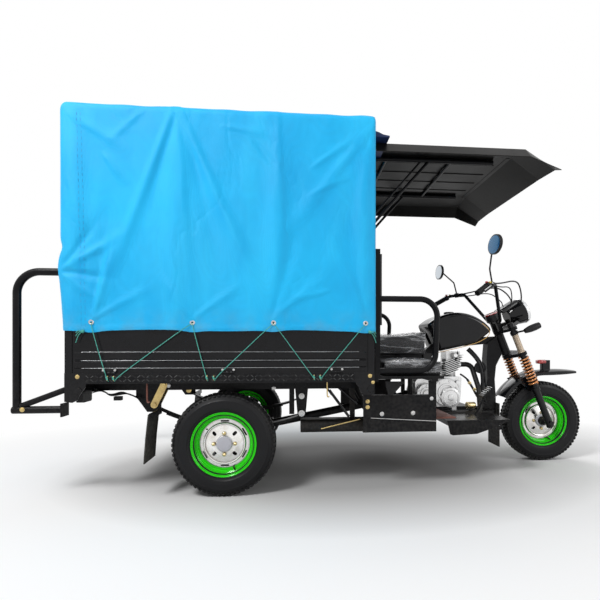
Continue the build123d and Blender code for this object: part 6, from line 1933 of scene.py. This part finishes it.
@dataclass(frozen=True)
class EngineTrim:
    """Small parts round the tank and engine: stripe, lead, carburettor, pedal, hoses and fittings.

    Attributes:
        stripe: X and Z of the gold stripe along the tank's lower edge and nose.
        fittings: X and Z of the brass fittings on their rail.
        rail_y: y of the rail.
        pedal_y: y of both ends of the pedal.
    """

    stripe: tuple[Pair, ...] = (
        (0.660, 0.747), (0.760, 0.768), (0.860, 0.791), (0.940, 0.816), (0.990, 0.846), (1.012, 0.874),
        (1.000, 0.897), (0.978, 0.919), (0.952, 0.938),
    )
    fittings: tuple[Pair, ...] = ((0.882, 0.542), (0.915, 0.500), (0.951, 0.428))
    rail_y: float = -0.088
    pedal_y: Pair = (-0.230, -0.170)

    @staticmethod
    def side(node: str, x: float, z: float, hand: int) -> Point:
        """The place on the side of a node.

        Args:
            node: the node.
            x: X of the place.
            z: Z of the place.
            hand: the side, as the sign of y.

        Returns:
            The place on its surface, or at its half width where it has none there.
        """
        found, place, _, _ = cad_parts[node].ray_cast((x, hand * 0.6, z), (0, -hand, 0))
        return tuple(place) if found else (x, hand * 0.12, z)

    def build(self) -> None:
        """Make the trim."""
        gold = Kit("tank_stripes", Paint.GOLD)
        for hand in SIDES:
            gold.pipe([self.side("fuel_tank", x, z, hand) for x, z in self.stripe], 0.0022, 2)
        brass, right = Kit("brass_fittings", Paint.BRASS), (0, -1, 0)
        for x, z in self.fittings:
            brass.turned(((0.0, 0.012), (0.010, 0.012), (0.011, 0.008), (0.018, 0.008), (0.020, 0.005)),
                         (x, self.rail_y, z), right, 6)
        brass.turned(((0.0, 0.019), (0.003, 0.0225), (0.055, 0.0225), (0.060, 0.019)), (0.856, -0.100, 0.394),
                     (1, 0, 0), 32)
        alloy = Kit("carburettor", Paint.ALLOY)
        alloy.turned(((0.0, 0.020), (0.008, 0.026), (0.040, 0.026), (0.048, 0.020)), (0.650, -0.012, 0.598),
                     (0, 0, 1), 32)
        alloy.turned(((0.0, 0.012), (0.006, 0.021), (0.022, 0.021)), (0.650, -0.012, 0.576), (0, 0, 1), 6)
        alloy.turned(((0.0, 0.062), (0.004, 0.066), (0.010, 0.064), (0.013, 0.050), (0.010, 0.047),
                      (0.012, 0.022), (0.016, 0.019), (0.018, 0.006)),
                     self.side("engine_case", 0.735, 0.452, -1), right, 48)
        chrome, (y0, y1) = Kit("pedal_ribs", Paint.CHROME), self.pedal_y
        chrome.plate(((0.922, y0, 0.478), (0.922, y1, 0.478), (0.975, y1, 0.526), (0.975, y0, 0.526)),
                     (0.003, 0.0, -0.004), 0.0015)
        for step in range(5):
            x, z = 0.928 + 0.0105 * step, 0.4865 + 0.0095 * step
            chrome.pipe(((x, y0, z), (x, y1, z)), 0.0028, 2, False)
        close_all(gold, self.hoses(), alloy, brass, chrome)

    def hoses(self) -> Kit:
        """Make the lead, the rail, the hoses, the horn, the filter's strap and the intake.

        Returns:
            Their kit.
        """
        black = Kit("engine_rubber_parts", Paint.PLASTIC)
        for radius, points in (
            (0.0042, ((0.797, -0.068, 0.690), (0.800, -0.080, 0.715), (0.812, -0.070, 0.738),
                      (0.822, -0.040, 0.752))),
            (0.0075, ((0.868, self.rail_y, 0.566), (0.900, self.rail_y, 0.520), (0.951, self.rail_y, 0.424),
                      (1.000, -0.070, 0.400))),
            (0.011, ((0.885, -0.050, 0.765), (0.955, -0.070, 0.700), (0.978, -0.085, 0.580),
                     (0.968, -0.085, 0.470), (1.010, -0.060, 0.400))),
            (0.007, ((0.905, -0.030, 0.775), (0.990, -0.055, 0.690), (1.000, -0.060, 0.560),
                     (1.020, -0.050, 0.480))),
            (0.006, ((0.868, self.rail_y, 0.566), (0.845, -0.080, 0.590), (0.826, -0.070, 0.600))),
        ):
            black.pipe(points, radius, 3)
        black.turned(((0.0, 0.016), (0.012, 0.020), (0.014, 0.038), (0.024, 0.040), (0.027, 0.034),
                      (0.024, 0.030), (0.026, 0.012)), (0.985, -0.030, 0.640), (-0.4, -0.9, 0.1), 40)
        black.block((0.876, -0.112, 0.300), (0.896, self.rail_y, 0.376), 0.002)
        black.turned(((0.0, 0.020), (0.006, 0.024), (0.016, 0.021), (0.026, 0.024), (0.036, 0.021),
                      (0.046, 0.024), (0.060, 0.020)), (0.655, -0.01, 0.640), (0.95, 0, -0.2), 32)
        return black


# studio


@dataclass
class Studio:
    """The pale floor with a painted shadow round the vehicle, the soft lights and the camera.

    Attributes:
        eye: place of the camera.
        turn: turn of the camera about the vertical, in degrees.
        sensor: width of its sensor in millimetres.
        lens: focal length in millimetres.
        shift: shift of the picture's middle.
        sky: strength of the sky's light.
        aim: the place that the lamps shine at.
        floor_reach: half the width of the floor.
        fade: distances between which the floor fades to white.
    """

    eye: Point = (-0.290, -2.793, 0.792)
    turn: float = -4.88
    sensor: float = 36.0
    lens: float = 25.08
    shift: Pair = (-0.0483, 0.0758)
    sky: float = 0.36
    aim: Point = (0.0, 0.0, 0.7)
    floor_reach: float = 14.0
    fade: Pair = (1.0, 2.1)

    def build(self) -> None:
        """Place the camera, the lights and the floor."""
        self.place_camera()
        self.place_lights()
        self.lay_floor()

    def place_camera(self) -> None:
        """Place the camera where the photograph was taken."""
        bpy.ops.object.camera_add(location=self.eye,
                                  rotation=(math.radians(90), 0.0, math.radians(self.turn)))
        camera = bpy.context.object
        camera.name = "studio_camera"
        camera.data.sensor_width = self.sensor
        camera.data.lens = self.lens
        camera.data.shift_x, camera.data.shift_y = self.shift
        bpy.context.scene.camera = camera

    def place_lights(self) -> None:
        """Set an even pale sky and three large soft lamps."""
        scene = bpy.context.scene
        scene.view_settings.view_transform = "Standard"
        scene.world = bpy.data.worlds.new("studio_sky")
        bench = Bench(scene.world, "World")
        lit, seen = (bench.node("Background", 0, {0: WHITE, 1: power}) for power in (self.sky, 1.0))
        bench.put(bench.out, bench.node("MixShader", 0, {0: bench.straight(), 1: lit, 2: seen}))
        for name, place, size, power in (("key_lamp", (-3.2, -3.2, 4.8), 1.4, 250.0),
                                         ("front_lamp", (4.2, -3.0, 2.4), 2.2, 60.0),
                                         ("back_lamp", (0.5, 4.2, 4.2), 3.0, 90.0)):
            bpy.ops.object.light_add(type="AREA", location=place)
            lamp = bpy.context.object
            lamp.name = name
            lamp.data.size = size
            lamp.data.energy = power
            lamp.rotation_euler = (Vector(self.aim) - Vector(place)).to_track_quat("-Z", "Y").to_euler()

    def lay_floor(self) -> None:
        """Lay a pale floor that keeps the real shadow, has a painted shadow of darker grey round the vehicle,
        and fades to white away from it.
        """
        bpy.ops.mesh.primitive_plane_add(size=2 * self.floor_reach)
        floor = bpy.context.object
        floor.name = "studio_floor"
        bench = Bench(bpy.data.materials.new("floor_with_painted_shadow"))
        far = bench.node("VectorMath", "Value", {0: bench.stretch(0.62, 1.0, 1.0)}, operation="LENGTH")
        # Painted shadow: the floor's colour is darker grey near the vehicle and pale further out.
        pale = bench.blend(bench.span(far, 0.5, 1.1), (0.42, 0.42, 0.42), (0.92, 0.92, 0.92))
        bench.shade(Base_Color=pale, Roughness=0.9, Specular_IOR_Level=0.0)
        share = bench.sum("MULTIPLY", bench.span(far, *self.fade), bench.straight())
        glow = bench.node("Emission", 0, {0: WHITE})
        bench.put(bench.out, bench.node("MixShader", 0, {0: share, 1: bench.shader.outputs[0], 2: glow}))
        floor.data.materials.append(bench.owner)


def main() -> None:
    """Build and dress the tricycle in order."""
    logging.basicConfig(level=logging.INFO, format="%(name)s: %(message)s")
    Paint.dress_nodes()
    log.info("finishes on %d nodes", len(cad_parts))
    cover = CanvasCover()
    for part in (cover, RearCurtain(), Lashing(cover), SeatSet(), BedTrim(cover), Tyres(), Wheels(),
                 FrontEnd(), EngineTrim(), Studio()):
        part.build()
        log.info("%s done", type(part).__name__)


if __name__ == "__main__":
    main()
